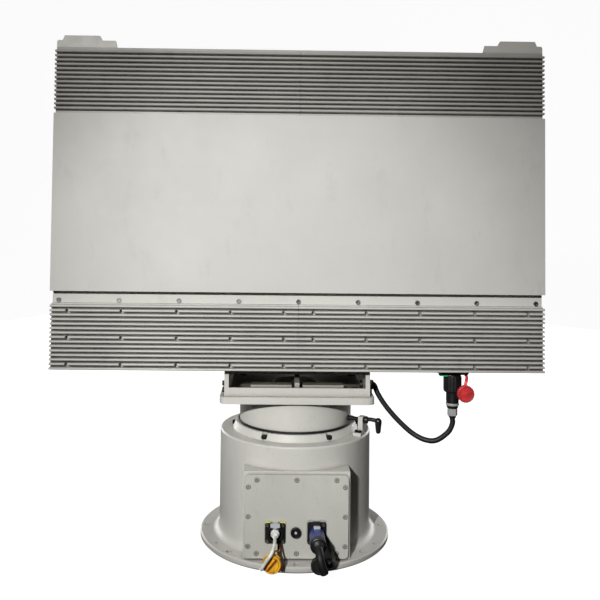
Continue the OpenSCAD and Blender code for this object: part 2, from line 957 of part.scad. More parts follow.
module turret_neck() {
    color(paint)
        difference() {
            rotate_extrude($fn = 128)
                polygon([
                    [30, neck_floor_z], [inner_race_r, neck_floor_z],
                    [inner_race_r, bearing_z + bearing_h], [inner_race_r + 7, bearing_z + bearing_h],
                    [inner_race_r + 7, neck_step_z], [neck_r, neck_step_z], [neck_r, neck_top],
                    [neck_r - 14, neck_top], [neck_r - 14, neck_step_z + 4],
                    [inner_race_r - 8, neck_step_z - 6],
                    [inner_race_r - 8, neck_floor_z + 8], [30, neck_floor_z + 8]
                ]);
            translate([0, 0, neck_top - 17])
                around(neck_screw_count, neck_screw_pcr, 30)
                    cylinder(r = screw6_r + screw_fit, h = 18);
            translate([0, 0, neck_floor_z - 1])
                around(neck_screw_count, gear_screw_pcr, 0)
                    cylinder(r = screw5_r + screw_fit, h = 8);
            translate([0, 0, neck_floor_z - 1])
                around(4, slip_screw_pcr, 45)
                    cylinder(r = slip_screw_r, h = 10);
        }
}

module azimuth_gear() {
    color(steel)
        translate([0, 0, gear_z])
            difference() {
                spur_gear(gear_teeth, gear_t);
                translate([0, 0, -1])
                    cylinder(r = gear_in_r, h = gear_t + 2);
                translate([0, 0, -1])
                    around(neck_screw_count, gear_screw_pcr, 0)
                        cylinder(r = screw5_r + screw_fit, h = gear_t + 2);
            }
}

module neck_screws() {
    color(steel)
        union() {
            translate([0, 0, plate_z + plate_t - screw6_head_h - 0.5])
                around(neck_screw_count, neck_screw_pcr, 30)
                    cap_screw(screw6_r, screw6_head_r, screw6_head_h, 18);
            translate([0, 0, gear_z])
                around(neck_screw_count, gear_screw_pcr, 0)
                    rotate([180, 0, 0])
                        cap_screw(screw5_r, screw5_head_r, screw5_head_h, gear_t + 6);
        }
}

module turntable_plate() {
    color(paint)
        difference() {
            translate([0, 0, plate_z])
                linear_extrude(plate_t)
                    rounded_rect(plate_w, plate_depth, 10);
            translate([0, 0, plate_z - 1])
                cylinder(r = cable_hole_r, h = plate_t + 2);
            translate([0, 0, plate_z - 1])
                around(neck_screw_count, neck_screw_pcr, 30)
                    cylinder(r = screw6_r + screw_fit, h = plate_t + 2);
            translate([0, 0, plate_z + plate_t - screw6_head_h - 0.5])
                around(neck_screw_count, neck_screw_pcr, 30)
                    cylinder(r = screw6_head_r + 0.3, h = plate_t);
            for (x = [-1, 1], y = [-1, 1])
                translate([x * frame_bolt_x, y * frame_bolt_y, plate_z - 1])
                    cylinder(r = screw6_r + screw_fit, h = plate_t + 2);
        }
}

module mount_frame() {
    half_d = frame_depth / 2;
    color(paint)
        difference() {
            union() {
                translate([-frame_w / 2, -half_d, frame_z])
                    cube([frame_w, frame_depth, frame_floor]);
                for (s = [-1, 1])
                    translate([s * (frame_w - frame_wall) / 2 - frame_wall / 2, -half_d, frame_z])
                        cube([frame_wall, frame_depth, frame_h]);
                translate([-frame_in - eps, -half_d, frame_z])
                    cube([2 * frame_in + 2 * eps, 4, lip_h]);
                translate([-frame_in - eps, half_d - 4, frame_z])
                    cube([2 * frame_in + 2 * eps, 4, top_plate_z - frame_z + eps]);
                translate([-frame_in - eps, -half_d + 8, top_plate_z])
                    cube([2 * frame_in + 2 * eps, frame_depth - 8, top_plate_t]);
                for (s = [-1, 1])
                    translate([s * (frame_in - 5) - 5 - eps, -half_d, frame_z + frame_h - 2.5])
                        cube([10 + 2 * eps, 14, 2.5]);
                for (s = [-1, 1])
                    translate([s * 38 - 30, -half_d + 8, frame_z + frame_floor - eps])
                        cube([60, 18, 11]);
                along_x(-3.5, 3.5)
                    polygon([
                        [-half_d + 8, frame_z + frame_floor - eps],
                        [-half_d + 60, frame_z + frame_floor - eps],
                        [-half_d + 60, top_plate_z + eps], [-half_d + 40, top_plate_z + eps],
                        [-half_d + 8, frame_z + frame_floor + 14]
                    ]);
                for (x = [-1, 1], y = pad_y)
                    translate([x * pad_x, y, top_plate_z + top_plate_t - eps])
                        cylinder(r = pad_r, h = chassis_z - top_plate_z - top_plate_t + eps);
            }
            translate([0, 0, frame_z - 1])
                cylinder(r = cable_hole_r - 4, h = frame_floor + 2);
            translate([-46, -34, top_plate_z - 1])
                cube([92, 96, top_plate_t + 2]);
            for (s = [-1, 1])
                translate([s * 45 - 30, half_d - 6, frame_z + 12])
                    cube([60, 8, 12]);
            for (x = [-1, 1], y = [-1, 1])
                translate([x * frame_bolt_x, y * frame_bolt_y, frame_z - 1])
                    cylinder(r = screw6_r + screw_fit, h = frame_floor + 2);
            for (x = [-1, 1], y = pad_y)
                translate([x * pad_x, y, top_plate_z - 1])
                    cylinder(r = bolt8_r + screw_fit, h = 14);
            for (s = [-1, 1], z = side_bolt_z)
                translate([s * (frame_w / 2 - 4) - 5, side_bolt_y, frame_z + z])
                    rotate([0, 90, 0])
                        cylinder(r = screw4_r + screw_fit, h = 10);
            translate([frame_in - gland_stub - 1, gland_y, gland_z])
                rotate([0, 90, 0])
                    cylinder(r = gland_r + 0.1, h = frame_wall + gland_stub + 2);
        }
}

module frame_bolts() {
    color(black)
        union() {
            for (x = [-1, 1], y = [-1, 1])
                translate([x * frame_bolt_x, y * frame_bolt_y, frame_z + frame_floor])
                    cap_screw(screw6_r, screw6_head_r, screw6_head_h, 12);
            for (x = [-1, 1], y = pad_y)
                translate([x * pad_x, y, top_plate_z])
                    rotate([180, 0, 0])
                        cap_screw(bolt8_r, 6.5, 5, 15);
            for (s = [-1, 1], z = side_bolt_z)
                translate([s * frame_w / 2, side_bolt_y, frame_z + z])
                    rotate([0, s * 90, 0])
                        cap_screw(screw4_r, 3.5, 3.6, 5);
        }
}

module panel_chassis() {
    inner_w = chassis_w - 2 * chassis_wall;
    inner_z = chassis_z + chassis_wall;
    inner_top = chassis_top - chassis_wall;
    color(paint)
        difference() {
            translate([-chassis_w / 2, chassis_front, chassis_z])
                cube([chassis_w, chassis_depth, chassis_top - chassis_z]);
            translate([-inner_w / 2, chassis_front - 1, bay_z0])
                cube([inner_w, cold_front - chassis_front + 1, bay_z1 - bay_z0]);
            translate([-inner_w / 2, cold_rear, inner_z])
                cube([inner_w, chassis_rear - cold_rear + 1, inner_top - inner_z]);
            for (z = [[inner_z, bay_z0 - chassis_wall], [bay_z1 + chassis_wall, inner_top]])
                translate([-inner_w / 2, chassis_front + chassis_wall, z[0]])
                    cube([inner_w, cold_rear - chassis_front - chassis_wall + 1, z[1] - z[0]]);
            for (x = [-1, 1], y = pad_y)
                translate([x * pad_x, y, chassis_z - 1])
                    cylinder(r = bolt8_r + screw_fit, h = chassis_wall + 2);
            translate([plug_x, plug_y, chassis_z - 1])
                cylinder(r = 11.2, h = chassis_wall + 2);
            for (i = [-4 : 4])
                rod_front(i * strip_pitch, chassis_front + 5, strip_screw_z, screw4_r + screw_fit, 6);
            for (r = sink_rows, s = [-1, 1], x = sink_columns)
                rod_front(s * x, chassis_front + 5, sink_screw_z(r), screw3_r + screw_fit, 6);
            rear_screw_places()
                rod_front(0, 1, 0, screw4_r + screw_fit, 11);
            for (s = [-1, 1], x = bracket_screws)
                translate([s * (chassis_w / 2 - x), bracket_screw_y, chassis_top - 5])
                    cylinder(r = screw4_r + screw_fit, h = 6);
        }
}

function sink_screw_z(row) = panel_z + fin_t / 2 + row * fin_pitch;

// Places its children at every rear cover screw, on the chassis's rear face
module rear_screw_places() {
    half_w = chassis_w / 2 - rear_screw_edge;
    z0 = chassis_z + rear_screw_edge;
    z1 = chassis_top - rear_screw_edge;
    for (i = [0 : 6], z = [z0, z1])
        translate([-half_w + rear_screw_in + i * (half_w - rear_screw_in) / 3, chassis_rear, z])
            children();
    for (s = [-1, 1], i = [1 : 3])
        translate([s * half_w, chassis_rear, z0 + i * (z1 - z0) / 4])
            children();
}

module radome() {
    inner_w = radome_w - 2 * chassis_wall - 8;
    color([0.83, 0.83, 0.80])
        difference() {
            union() {
                translate([-radome_w / 2, radome_face, radome_z + strip_h])
                    cube([radome_w, chassis_front - radome_face, radome_top - radome_z - strip_h]);
                translate([-radome_w / 2, radome_flange, radome_z])
                    cube([radome_w, chassis_front - radome_flange, strip_h + 1]);
            }
            translate([-inner_w / 2, radome_face + radome_skin, radome_z + strip_h + 4])
                cube([inner_w, 20, radome_top - radome_z - strip_h - 10]);
            for (i = [-4 : 4])
                rod_front(i * strip_pitch, chassis_front + 1, strip_screw_z, screw4_r + 0.2, 8);
        }
}

module radome_screws() {
    color(steel)
        for (i = [-4 : 4])
            translate([i * strip_pitch, radome_flange, strip_screw_z])
                rotate([90, 0, 0])
                    cap_screw(screw4_r, 3.4, 1.8, 8);
}

// Finned extrusion from x0 to x1 on a slab that starts at z, with its lowest fin at fins_z
module heat_sink(x0, x1, z, slab_h, fins_z, fins) {
    along_x(x0, x1)
        union() {
            translate([chassis_front - sink_base_t, z])
                square([sink_base_t, slab_h]);
            for (i = [0 : fins - 1])
                translate([fin_tip + fin_t / 2, fins_z + i * fin_pitch])
                    square([fin_h, fin_t]);
            for (i = [0 : fins - 1])
                translate([fin_tip + fin_t / 2, fins_z + i * fin_pitch + fin_t / 2])
                    circle(fin_t / 2, $fn = 24);
        }
}

module drilled_heat_sink(x0, x1, side) {
    color(paint)
        difference() {
            heat_sink(x0, x1, panel_z, bottom_fins_h + groove_h - seam, panel_z, bottom_fins);
            for (r = sink_rows, x = sink_columns) {
                rod_front(side * x, chassis_front + 1, sink_screw_z(r), screw3_r + 0.1, 10);
                rod_front(side * x, chassis_front - sink_base_t + sink_seat, sink_screw_z(r),
                    sink_head_r + 0.2, 20);
            }
        }
}

module top_heat_sink(x0, x1) {
    z = panel_top - top_sink_h;
    color(paint)
        heat_sink(x0, x1, z, top_sink_h, z + top_gap_below, top_fins);
}

module heat_sink_top_left() {
    top_heat_sink(-panel_w / 2, -seam / 2);
}

module heat_sink_top_right() {
    top_heat_sink(seam / 2, panel_w / 2);
}

module heat_sink_bottom_left() {
    drilled_heat_sink(-panel_w / 2, -seam / 2, -1);
}

module heat_sink_bottom_right() {
    drilled_heat_sink(seam / 2, panel_w / 2, 1);
}

module heat_sink_screws() {
    color([0.35, 0.33, 0.30])
        for (r = sink_rows, s = [-1, 1], x = sink_columns)
            translate([s * x, chassis_front - sink_base_t + sink_seat, sink_screw_z(r)])
                rotate([90, 0, 0])
                    cap_screw(screw3_r, sink_head_r, 2.4, 7);
}

module antenna_array() {
    board_front = chassis_front + 4;
    board_w = chassis_w - 24;
    rows = 8;
    row_gap = (bay_z1 - bay_z0 - 20) / rows;
    union() {
        color(board_green)
            translate([-board_w / 2, board_front, bay_z0 + 5])
                cube([board_w, 4, bay_z1 - bay_z0 - 10]);
        color([0.82, 0.66, 0.32])
            for (i = [0 : rows - 1], j = [0 : 15])
                translate([-board_w / 2 + 16 + j * (board_w - 32) / 15 - 9,
                    board_front - 1, bay_z0 + 14 + i * row_gap])
                    cube([18, 1 + eps, 17]);
        color(steel)
            for (x = [-1, -0.33, 0.33, 1], z = [0.2, 0.8])
                translate([x * (board_w / 2 - 20), board_front + 4 - eps, bay_z0 + z * (bay_z1 - bay_z0)])
                    rotate([-90, 0, 0])
                        cylinder(r = 4, h = cold_front - board_front - 4 + eps);
    }
}

module transceiver_modules() {
    color(steel)
        for (x = [-255, -85, 85, 255], z = [chassis_z + 210, chassis_z + 330])
            translate([x - 72, cold_rear, z - 48])
                cube([144, 24, 96]);
}

module panel_power_module() {
    color([0.3, 0.3, 0.32])
        union() {
            translate([-150, cold_rear, chassis_z + 30])
                cube([300, 34, 90]);
            for (i = [0 : 11])
                translate([-140 + i * 25, cold_rear + 34 - eps, chassis_z + 34])
                    cube([4, 10, 82]);
        }
}

module rear_cover() {
    color(paint)
        difference() {
            union() {
                translate([-chassis_w / 2, chassis_rear, chassis_z])
                    cube([chassis_w, rear_t, chassis_top - chassis_z]);
                for (x = [-240 : 80 : 240])
                    translate([x - 6, chassis_rear + rear_t - eps, chassis_z + 40])
                        cube([12, 5, chassis_top - chassis_z - 80]);
            }
            rear_screw_places()
                rod_front(0, rear_t + 1, 0, screw4_r + 0.2, rear_t + 2);
        }
}

module chassis_screws() {
    color(steel)
        union() {
            rear_screw_places()
                translate([0, rear_t, 0])
                    rotate([-90, 0, 0])
                        cap_screw(screw4_r, screw4_head_r, screw4_head_h, 12);
            for (s = [-1, 1], x = bracket_screws)
                translate([s * (chassis_w / 2 - x), bracket_screw_y, chassis_top + bracket_foot_t])
                    cap_screw(screw4_r, screw4_head_r, screw4_head_h, 7);
        }
}

module top_brackets() {
    color(paint)
        for (s = [-1, 1])
            translate([s * (chassis_w / 2), 0, chassis_top])
                difference() {
                    union() {
                        towards_front(0, chassis_front + 4, 0, 4)
                            polygon([for (p = [
                                [4, 0], [4, 10], [2, 12], [-4, 12], [-7, 19], [-58, 19],
                                [-62, 12], [-81, 12], [-84, 0]
                            ]) [s * p[0], p[1]]]);
                        translate([s * -42 - 40, chassis_front + 4 - eps, 0])
                            cube([80, 22, bracket_foot_t]);
                    }
                    for (x = bracket_screws)
                        translate([s * -x, bracket_screw_y, -1])
                            cylinder(r = screw4_r + 0.2, h = 6);
                }
}

module panel_socket() {
    color(black)
        difference() {
            union() {
                translate([plug_x, plug_y, chassis_z - jack_flange_t])
                    linear_extrude(jack_flange_t)
                        rounded_rect(44, 30, 8);
                translate([plug_x, plug_y, chassis_z - 18])
                    cylinder(r = 10.8, h = 18 + chassis_wall + 12);
            }
            translate([plug_x, plug_y, chassis_z - 19])
                cylinder(r = 9.4, h = 16);
        }
}

module panel_dust_cap() {
    cap_x = plug_x + 14;
    cap_y = plug_y - 18;
    cap_z = chassis_z - 32.5;
    color([0.68, 0.18, 0.17])
        union() {
            rod_front(cap_x, cap_y, cap_z, 12.3, 7);
            cable_run([
                [plug_x + 17.5, plug_y, chassis_z - jack_flange_t - 2.2], [cap_x, plug_y - 8, chassis_z - 12],
                [cap_x, cap_y - 2, chassis_z - 16], [cap_x, cap_y - 3.5, chassis_z - 23]
            ], 2, 4, 10);
        }
}

module panel_plug() {
    color(black)
        translate([plug_x, plug_y, 0])
            union() {
                translate([0, 0, plug_bottom + 14])
                    cylinder(r = jumper_plug_r, h = 51);
                translate([0, 0, plug_bottom])
                    cylinder(r = jumper_boot_r, h = 14 + eps);
            }
}

module coupling_ring() {
    ring_z = chassis_z - 34;
    color([0.12, 0.12, 0.13])
        translate([plug_x, plug_y, 0])
            difference() {
                union() {
                    translate([0, 0, ring_z])
                        cylinder(r = 12.4, h = 26);
                    around(12, 12.2)
                        translate([0, 0, ring_z + 2])
                            cylinder(r = 1.2, h = 12, $fn = 16);
                }
                translate([0, 0, ring_z - 1])
                    cylinder(r = 9.4, h = 30);
                translate([0, 0, ring_z + 10])
                    cylinder(r = 10.9, h = 30);
            }
}

module panel_cable() {
    color(black)
        cable_run([
            [frame_w / 2 + 2, gland_y, gland_z], [frame_w / 2 + 11.5, gland_y, gland_z],
            [123, -48, 223], [135, -51, 205], [153, -55, 185],
            [173, -60, 168], [191, -66, 160], [207, -71, 161], [223, -75, 174],
            [plug_x, plug_y, plug_bottom - 9],
            [plug_x, plug_y, plug_bottom - 2 * cable_gap]
        ], jumper_r, 5, 16);
}

module cable_gland() {
    color(black)
        translate([frame_w / 2, gland_y, gland_z])
            rotate([0, 90, 0])
                difference() {
                    union() {
                        translate([0, 0, -frame_wall - gland_stub])
                            cylinder(r = gland_r, h = frame_wall + gland_stub + 1);
                        cylinder(r = 8.5, h = 5, $fn = 6);
                        cylinder(r = 7, h = 10);
                    }
                    translate([0, 0, -20])
                        cylinder(r = gland_r - 1, h = 40);
                }
}

pedestal_housing();
base_plate();
cover_screws();
hatch_gasket();
hatch_cover();
network_socket();
network_plug();
network_cable();
network_dust_cap();
network_latch();
power_socket();
power_plug();
power_cable();
power_dust_cap();
power_latch();
socket_screws();
vent_plug();
bearing_outer_race();
retainer_ring();
retainer_screws();
shaft_seal();
motor_bracket();
drive_motor();
motor_pinion();
slip_ring_stator();
control_board();
pedestal_harness();
lock_bracket();
lock_bracket_screws();
lock_pin();
lock_lever();
turret_neck();
bearing_inner_race();
bearing_balls();
azimuth_gear();
neck_screws();
slip_ring_rotor();
turntable_plate();
mount_frame();
frame_bolts();
panel_chassis();
radome();
radome_screws();
heat_sink_top_left();
heat_sink_top_right();
heat_sink_bottom_left();
heat_sink_bottom_right();
heat_sink_screws();
antenna_array();
transceiver_modules();
panel_power_module();
rear_cover();
chassis_screws();
top_brackets();
panel_socket();
panel_dust_cap();
panel_plug();
coupling_ring();
panel_cable();
cable_gland();
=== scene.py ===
import json
import math

import bmesh
import bpy
from mathutils import Matrix, Vector


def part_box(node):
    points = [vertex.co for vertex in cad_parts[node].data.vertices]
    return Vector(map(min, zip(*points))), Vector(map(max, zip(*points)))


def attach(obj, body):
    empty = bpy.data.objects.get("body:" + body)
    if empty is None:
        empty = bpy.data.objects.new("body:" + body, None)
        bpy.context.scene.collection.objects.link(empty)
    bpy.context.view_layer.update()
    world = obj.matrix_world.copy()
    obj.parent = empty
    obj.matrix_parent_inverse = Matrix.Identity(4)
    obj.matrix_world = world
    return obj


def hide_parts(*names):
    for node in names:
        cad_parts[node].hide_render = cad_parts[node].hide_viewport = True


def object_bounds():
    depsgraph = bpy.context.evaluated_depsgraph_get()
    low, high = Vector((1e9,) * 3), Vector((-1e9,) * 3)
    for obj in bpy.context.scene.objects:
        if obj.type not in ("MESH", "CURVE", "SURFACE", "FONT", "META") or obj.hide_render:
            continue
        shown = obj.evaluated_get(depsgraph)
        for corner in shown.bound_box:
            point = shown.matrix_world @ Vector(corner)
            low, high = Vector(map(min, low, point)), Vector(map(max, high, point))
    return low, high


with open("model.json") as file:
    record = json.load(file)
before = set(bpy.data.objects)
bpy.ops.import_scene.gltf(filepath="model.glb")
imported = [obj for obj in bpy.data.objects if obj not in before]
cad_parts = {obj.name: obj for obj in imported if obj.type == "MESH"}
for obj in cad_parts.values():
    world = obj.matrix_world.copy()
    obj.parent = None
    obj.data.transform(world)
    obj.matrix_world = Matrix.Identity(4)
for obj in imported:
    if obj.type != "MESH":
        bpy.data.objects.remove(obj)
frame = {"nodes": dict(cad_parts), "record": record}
CAD_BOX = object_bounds()

MM = 0.001
NODES = frame["nodes"]


# ---------------------------------------------------------------- materials

class Surface:
    """A node material under construction: one Principled surface and the patterns that feed it."""

    def __init__(self, name):
        self.material = bpy.data.materials.new(name)
        self.material.use_nodes = True
        self.tree = self.material.node_tree
        self.shader = self.tree.nodes["Principled BSDF"]
        self.coords = self.tree.nodes.new("ShaderNodeTexCoord").outputs["Object"]

    def node(self, kind, settings=None, **inputs):
        made = self.tree.nodes.new(kind)
        for key, value in (settings or {}).items():
            setattr(made, key, value)
        for key, value in inputs.items():
            self.feed(made.inputs[key.replace("_", " ")], value)
        return made

    def feed(self, socket, value):
        if isinstance(value, bpy.types.NodeSocket):
            self.tree.links.new(value, socket)
        else:
            socket.default_value = value

    def noise(self, scale, detail=3.0, rough=0.55, stretch=None):
        """Soft cloudy pattern with about `scale` features to the metre, as a value from 0 to 1."""
        vector = self.coords
        if stretch:
            vector = self.node("ShaderNodeMapping", Vector=vector, Scale=stretch).outputs["Vector"]
        made = self.node("ShaderNodeTexNoise", Vector=vector, Scale=scale, Detail=detail,
                         Roughness=rough)
        return made.outputs["Fac"]

    def span(self, value, low, high, start=0.3, end=0.7):
        """The value spread from low to high as it goes from start to end."""
        made = self.node("ShaderNodeMapRange", Value=value)
        made.inputs["From Min"].default_value = start
        made.inputs["From Max"].default_value = end
        made.inputs["To Min"].default_value = low
        made.inputs["To Max"].default_value = high
        return made.outputs["Result"]

    def mix(self, factor, first, second):
        """The first colour where the factor is 0, the second where it is 1."""
        made = self.node("ShaderNodeMix", {"data_type": "RGBA"})
        self.feed(made.inputs[0], factor)
        self.feed(made.inputs[6], first)
        self.feed(made.inputs[7], second)
        return made.outputs[2]

    def bump(self, height, distance, strength=1.0, under=None):
        made = self.node("ShaderNodeBump", Height=height, Distance=distance, Strength=strength)
        if under is not None:
            self.feed(made.inputs["Normal"], under)
        return made.outputs["Normal"]

    def finish(self, **inputs):
        for key, value in inputs.items():
            self.feed(self.shader.inputs[key.replace("_", " ")], value)
        return self.material


def linear(rgb):
    """Linear colour with alpha from 0 to 255 screen values."""
    parts = [c / 255 for c in rgb]
    flat = [c / 12.92 if c <= 0.04045 else ((c + 0.055) / 1.055) ** 2.4 for c in parts]
    return tuple(flat) + (1.0,)


def shade(rgb, factor):
    return linear([c * factor for c in rgb])


# Colour of the painted shade that darkens grooves and corners
SHADE_TONE = (84, 80, 66)
DUST = (120, 118, 112)


def coating(name, rgb, rough=(0.36, 0.5), peel=1100, depth=0.05, stain=0.05, speck=0.0, spec=0.5,
            corner_shade=0.0, reach=9):
    """Paint or moulded plastic: fine orange peel, cloudy tone changes and darker rubbed spots.
    The last two arguments paint shade into the colour: grooves and corners darken towards
    the shade tone, out to about the reach in millimetres."""
    s = Surface(name)
    clouds = s.noise(9, 4)
    handled = s.noise(38, 6, 0.7, (1, 1, 0.45))
    fine = s.noise(peel, 2)
    tone = s.mix(s.span(clouds, 0, 1), shade(rgb, 1 - stain), linear(rgb))
    tone = s.mix(s.span(handled, 0, 0.6, 0.56, 0.75), tone, shade(rgb, 1 - 2.2 * stain))
    if speck:
        dots = s.noise(420, 2, 0.4)
        tone = s.mix(s.span(dots, 0, speck, 0.68, 0.74), tone, shade(rgb, 0.55))
    # Painted shade: an ambient-occlusion mask darkens grooves and corners
    if corner_shade:
        corners = s.node("ShaderNodeAmbientOcclusion", {"samples": 6}, Distance=reach * MM)
        tone = s.mix(s.span(corners.outputs["AO"], corner_shade, 0, 0.25, 0.8), tone, linear(SHADE_TONE))
    gloss = s.span(s.noise(60, 5, 0.6), rough[0], rough[1])
    relief = s.bump(fine, depth * MM, 0.6)
    relief = s.bump(clouds, 0.25 * MM, 0.25, relief)
    return s.finish(Base_Color=tone, Roughness=gloss, Normal=relief, Specular_IOR_Level=spec)


def metal(name, rgb, rough=(0.22, 0.38), scratches=900, depth=0.02, metallic=1.0):
    """Bare or plated metal: fine scratches and dull patches."""
    s = Surface(name)
    streaks = s.noise(scratches, 3, 0.6)
    patches = s.noise(45, 5, 0.65)
    tone = s.mix(s.span(patches, 0, 1), shade(rgb, 0.8), linear(rgb))
    tone = s.mix(s.span(streaks, 0, 0.25), tone, shade(rgb, 0.62))
    gloss = s.span(s.noise(130, 4, 0.6), rough[0], rough[1])
    return s.finish(Base_Color=tone, Roughness=gloss, Metallic=metallic,
                    Normal=s.bump(streaks, depth * MM, 0.5))


def rubber(name, rgb, rough=(0.5, 0.68), grain=1600, depth=0.04, dust=0.12):
    """Rubber or cable jacket: fine matt grain, faint scuffs and a little settled dust on top."""
    s = Surface(name)
    scuffs = s.noise(70, 6, 0.7, (1, 1, 0.35))
    tone = s.mix(s.span(scuffs, 0, 1, 0.45, 0.75), linear(rgb), shade(rgb, 1.45))
    normal = s.node("ShaderNodeNewGeometry").outputs["Normal"]
    upward = s.node("ShaderNodeSeparateXYZ", Vector=normal).outputs["Z"]
    settled = s.span(upward, 0, dust, 0.35, 1)
    tone = s.mix(settled, tone, linear(DUST))
    gloss = s.span(s.noise(95, 4, 0.6), rough[0], rough[1])
    relief = s.bump(s.noise(grain, 2), depth * MM, 0.6)
    return s.finish(Base_Color=tone, Roughness=gloss, Normal=relief)


def circuit_board(name):
    """Green solder mask with copper tracks and tinned pads."""
    s = Surface(name)
    tracks = s.node("ShaderNodeTexBrick", Vector=s.coords, Scale=160.0, Mortar_Size=0.03,
                    Color1=linear((34, 84, 52)), Color2=linear((28, 72, 46)),
                    Mortar=linear((60, 120, 74)))
    pads = s.node("ShaderNodeTexVoronoi", {"feature": "F1"}, Vector=s.coords, Scale=230.0)
    tone = s.mix(s.span(pads.outputs["Distance"], 1, 0, 0.10, 0.14), tracks.outputs["Color"],
                 linear((190, 184, 160)))
    gloss = s.span(s.noise(150), 0.25, 0.4)
    relief = s.bump(tracks.outputs["Fac"], 0.04 * MM, 0.5)
    return s.finish(Base_Color=tone, Roughness=gloss, Normal=relief)


PAINT = (209, 207, 200)
LOOKS = {
    # The white and fin paints carry painted shade in their corners and fin grooves
    "white_paint": coating("white_paint", PAINT, speck=0.25, spec=0.35, corner_shade=0.6),
    "fin_paint": coating("fin_paint", (200, 198, 192), rough=(0.42, 0.56), stain=0.08, speck=0.5,
                         spec=0.3, corner_shade=0.38, reach=5),
    # Shaded copies of the white paint: heavy painted shade deep inside the frame, in the cover's
    # screw recesses and on the neck under the plate
    "frame_paint_shaded": coating("frame_paint_shaded", PAINT, speck=0.25, spec=0.3, corner_shade=0.97, reach=42),
    "hatch_paint_shaded": coating("hatch_paint_shaded", (200, 199, 190), speck=0.25, spec=0.35, corner_shade=0.97,
                           reach=4),
    "neck_paint_shaded": coating("neck_paint_shaded", PAINT, speck=0.25, spec=0.3, corner_shade=0.95, reach=26),
    # Darker copy of the fin paint: painted shade on the upper heat sinks, whose fins are seen from
    # below on their unlit side
    "upper_fin_paint_shaded": coating("upper_fin_paint_shaded", (176, 174, 168), rough=(0.42, 0.56),
                               stain=0.08, speck=0.5, spec=0.3, corner_shade=0.0, reach=5),
    "radome_skin": coating("radome_skin", (200, 199, 193), rough=(0.5, 0.62), peel=700,
                           depth=0.03, stain=0.035, spec=0.22),
    "bare_steel": metal("bare_steel", (176, 176, 174)),
    "bearing_steel": metal("bearing_steel", (196, 197, 200), rough=(0.12, 0.24), depth=0.008),
    "screw_steel": metal("screw_steel", (168, 166, 160), rough=(0.3, 0.45)),
    # Painted screw heads, with painted shade in their recesses
    "painted_screw": coating("painted_screw", (176, 174, 166), rough=(0.3, 0.45), peel=1900,
                             stain=0.12, corner_shade=0.95, reach=4),
    "black_screw": metal("black_screw", (44, 44, 46), rough=(0.32, 0.46), metallic=0.7),
    "black_plastic": coating("black_plastic", (20, 20, 22), rough=(0.34, 0.48), peel=1700,
                             depth=0.03, stain=0.15),
    "black_rubber": rubber("black_rubber", (15, 15, 16), rough=(0.55, 0.7), dust=0.04),
    "cable_black": rubber("cable_black", (15, 15, 16), rough=(0.48, 0.62), grain=1300,
                          depth=0.03, dust=0.03),
    "cable_white": rubber("cable_white", (205, 205, 200), rough=(0.4, 0.52), dust=0.05),
    "plug_blue": coating("plug_blue", (40, 58, 132), rough=(0.24, 0.38), peel=1500, depth=0.02,
                         stain=0.1),
    "cap_yellow": rubber("cap_yellow", (214, 160, 36), rough=(0.38, 0.52), dust=0.03),
    "cap_red": rubber("cap_red", (182, 48, 50), rough=(0.36, 0.5), dust=0.05),
    "latch_metal": metal("latch_metal", (232, 236, 243), rough=(0.26, 0.4), depth=0.01,
                         metallic=0.15),
    "motor_body": coating("motor_body", (52, 54, 58), rough=(0.34, 0.5)),
    "cast_aluminium": metal("cast_aluminium", (178, 179, 178), rough=(0.4, 0.58), scratches=500,
                            depth=0.05),
    "contact_gold": metal("contact_gold", (214, 172, 92), rough=(0.16, 0.3), depth=0.01),
    "board": circuit_board("board"),
    "gasket": rubber("gasket", (40, 41, 42)),
    # Painted shade for the yellow cap's face: brown in its slot, amber in its ring groove
    "cap_slot_shade": rubber("cap_slot_shade", (112, 58, 20), rough=(0.4, 0.55), dust=0.02),
    "cap_groove_shade": rubber("cap_groove_shade", (170, 108, 26), rough=(0.4, 0.55), dust=0.02),
    "cord_brown": rubber("cord_brown", (46, 30, 24), dust=0.02),
    "seal_yellow": rubber("seal_yellow", (206, 196, 92), dust=0.02),
    "seal_green": rubber("seal_green", (36, 150, 86), dust=0.02),
    "black_lever": coating("black_lever", (34, 34, 37), rough=(0.26, 0.4), peel=1500, depth=0.04,
                           stain=0.15),
    "band_grey": coating("band_grey", (168, 169, 167), rough=(0.3, 0.42), peel=1500, stain=0.08),
}
SLOTS = {part["node"]: part["material_slot"] for part in frame["record"]["subparts"]}


# ---------------------------------------------------------------- finishing of the CAD nodes

# Width of the softened edges in millimetres, for nodes that differ from the usual
EDGE = {
    "pedestal_housing": 1.2, "turret_neck": 0.8, "turntable_plate": 0.8, "mount_frame": 0.7,
    "radome": 0.9, "top_brackets": 0.5, "hatch_cover": 0.7, "rear_cover": 0.8, "panel_chassis": 0.8,
    "cover_screws": 0.15, "socket_screws": 0.12, "radome_screws": 0.2, "heat_sink_screws": 0.2,
    "retainer_screws": 0.2, "lock_bracket_screws": 0.15, "chassis_screws": 0.2, "frame_bolts": 0.3,
    "hatch_gasket": 0.1, "heat_sink_top_left": 0.2, "heat_sink_top_right": 0.2,
    "heat_sink_bottom_left": 0.2, "heat_sink_bottom_right": 0.2,
}
USUAL_EDGE = 0.3
SHARP = math.radians(32)


def soften(node, width):
    """Joins the node's split corners and rounds its sharp edges, without touching its own mesh."""
    weld = node.modifiers.new("join", "WELD")
    weld.merge_threshold = 0.005 * MM
    flat = node.modifiers.new("flat", "DECIMATE")
    flat.decimate_type = "DISSOLVE"
    flat.angle_limit = math.radians(0.4)
    edge = node.modifiers.new("edge", "BEVEL")
    edge.width = width * MM
    edge.segments = 2
    edge.limit_method = "ANGLE"
    edge.angle_limit = SHARP
    edge.use_clamp_overlap = True
    shine = node.modifiers.new("shine", "WEIGHTED_NORMAL")
    shine.weight = 60
    shine.keep_sharp = False


def dress(node, look):
    node.data.materials.clear()
    node.data.materials.append(LOOKS[look])


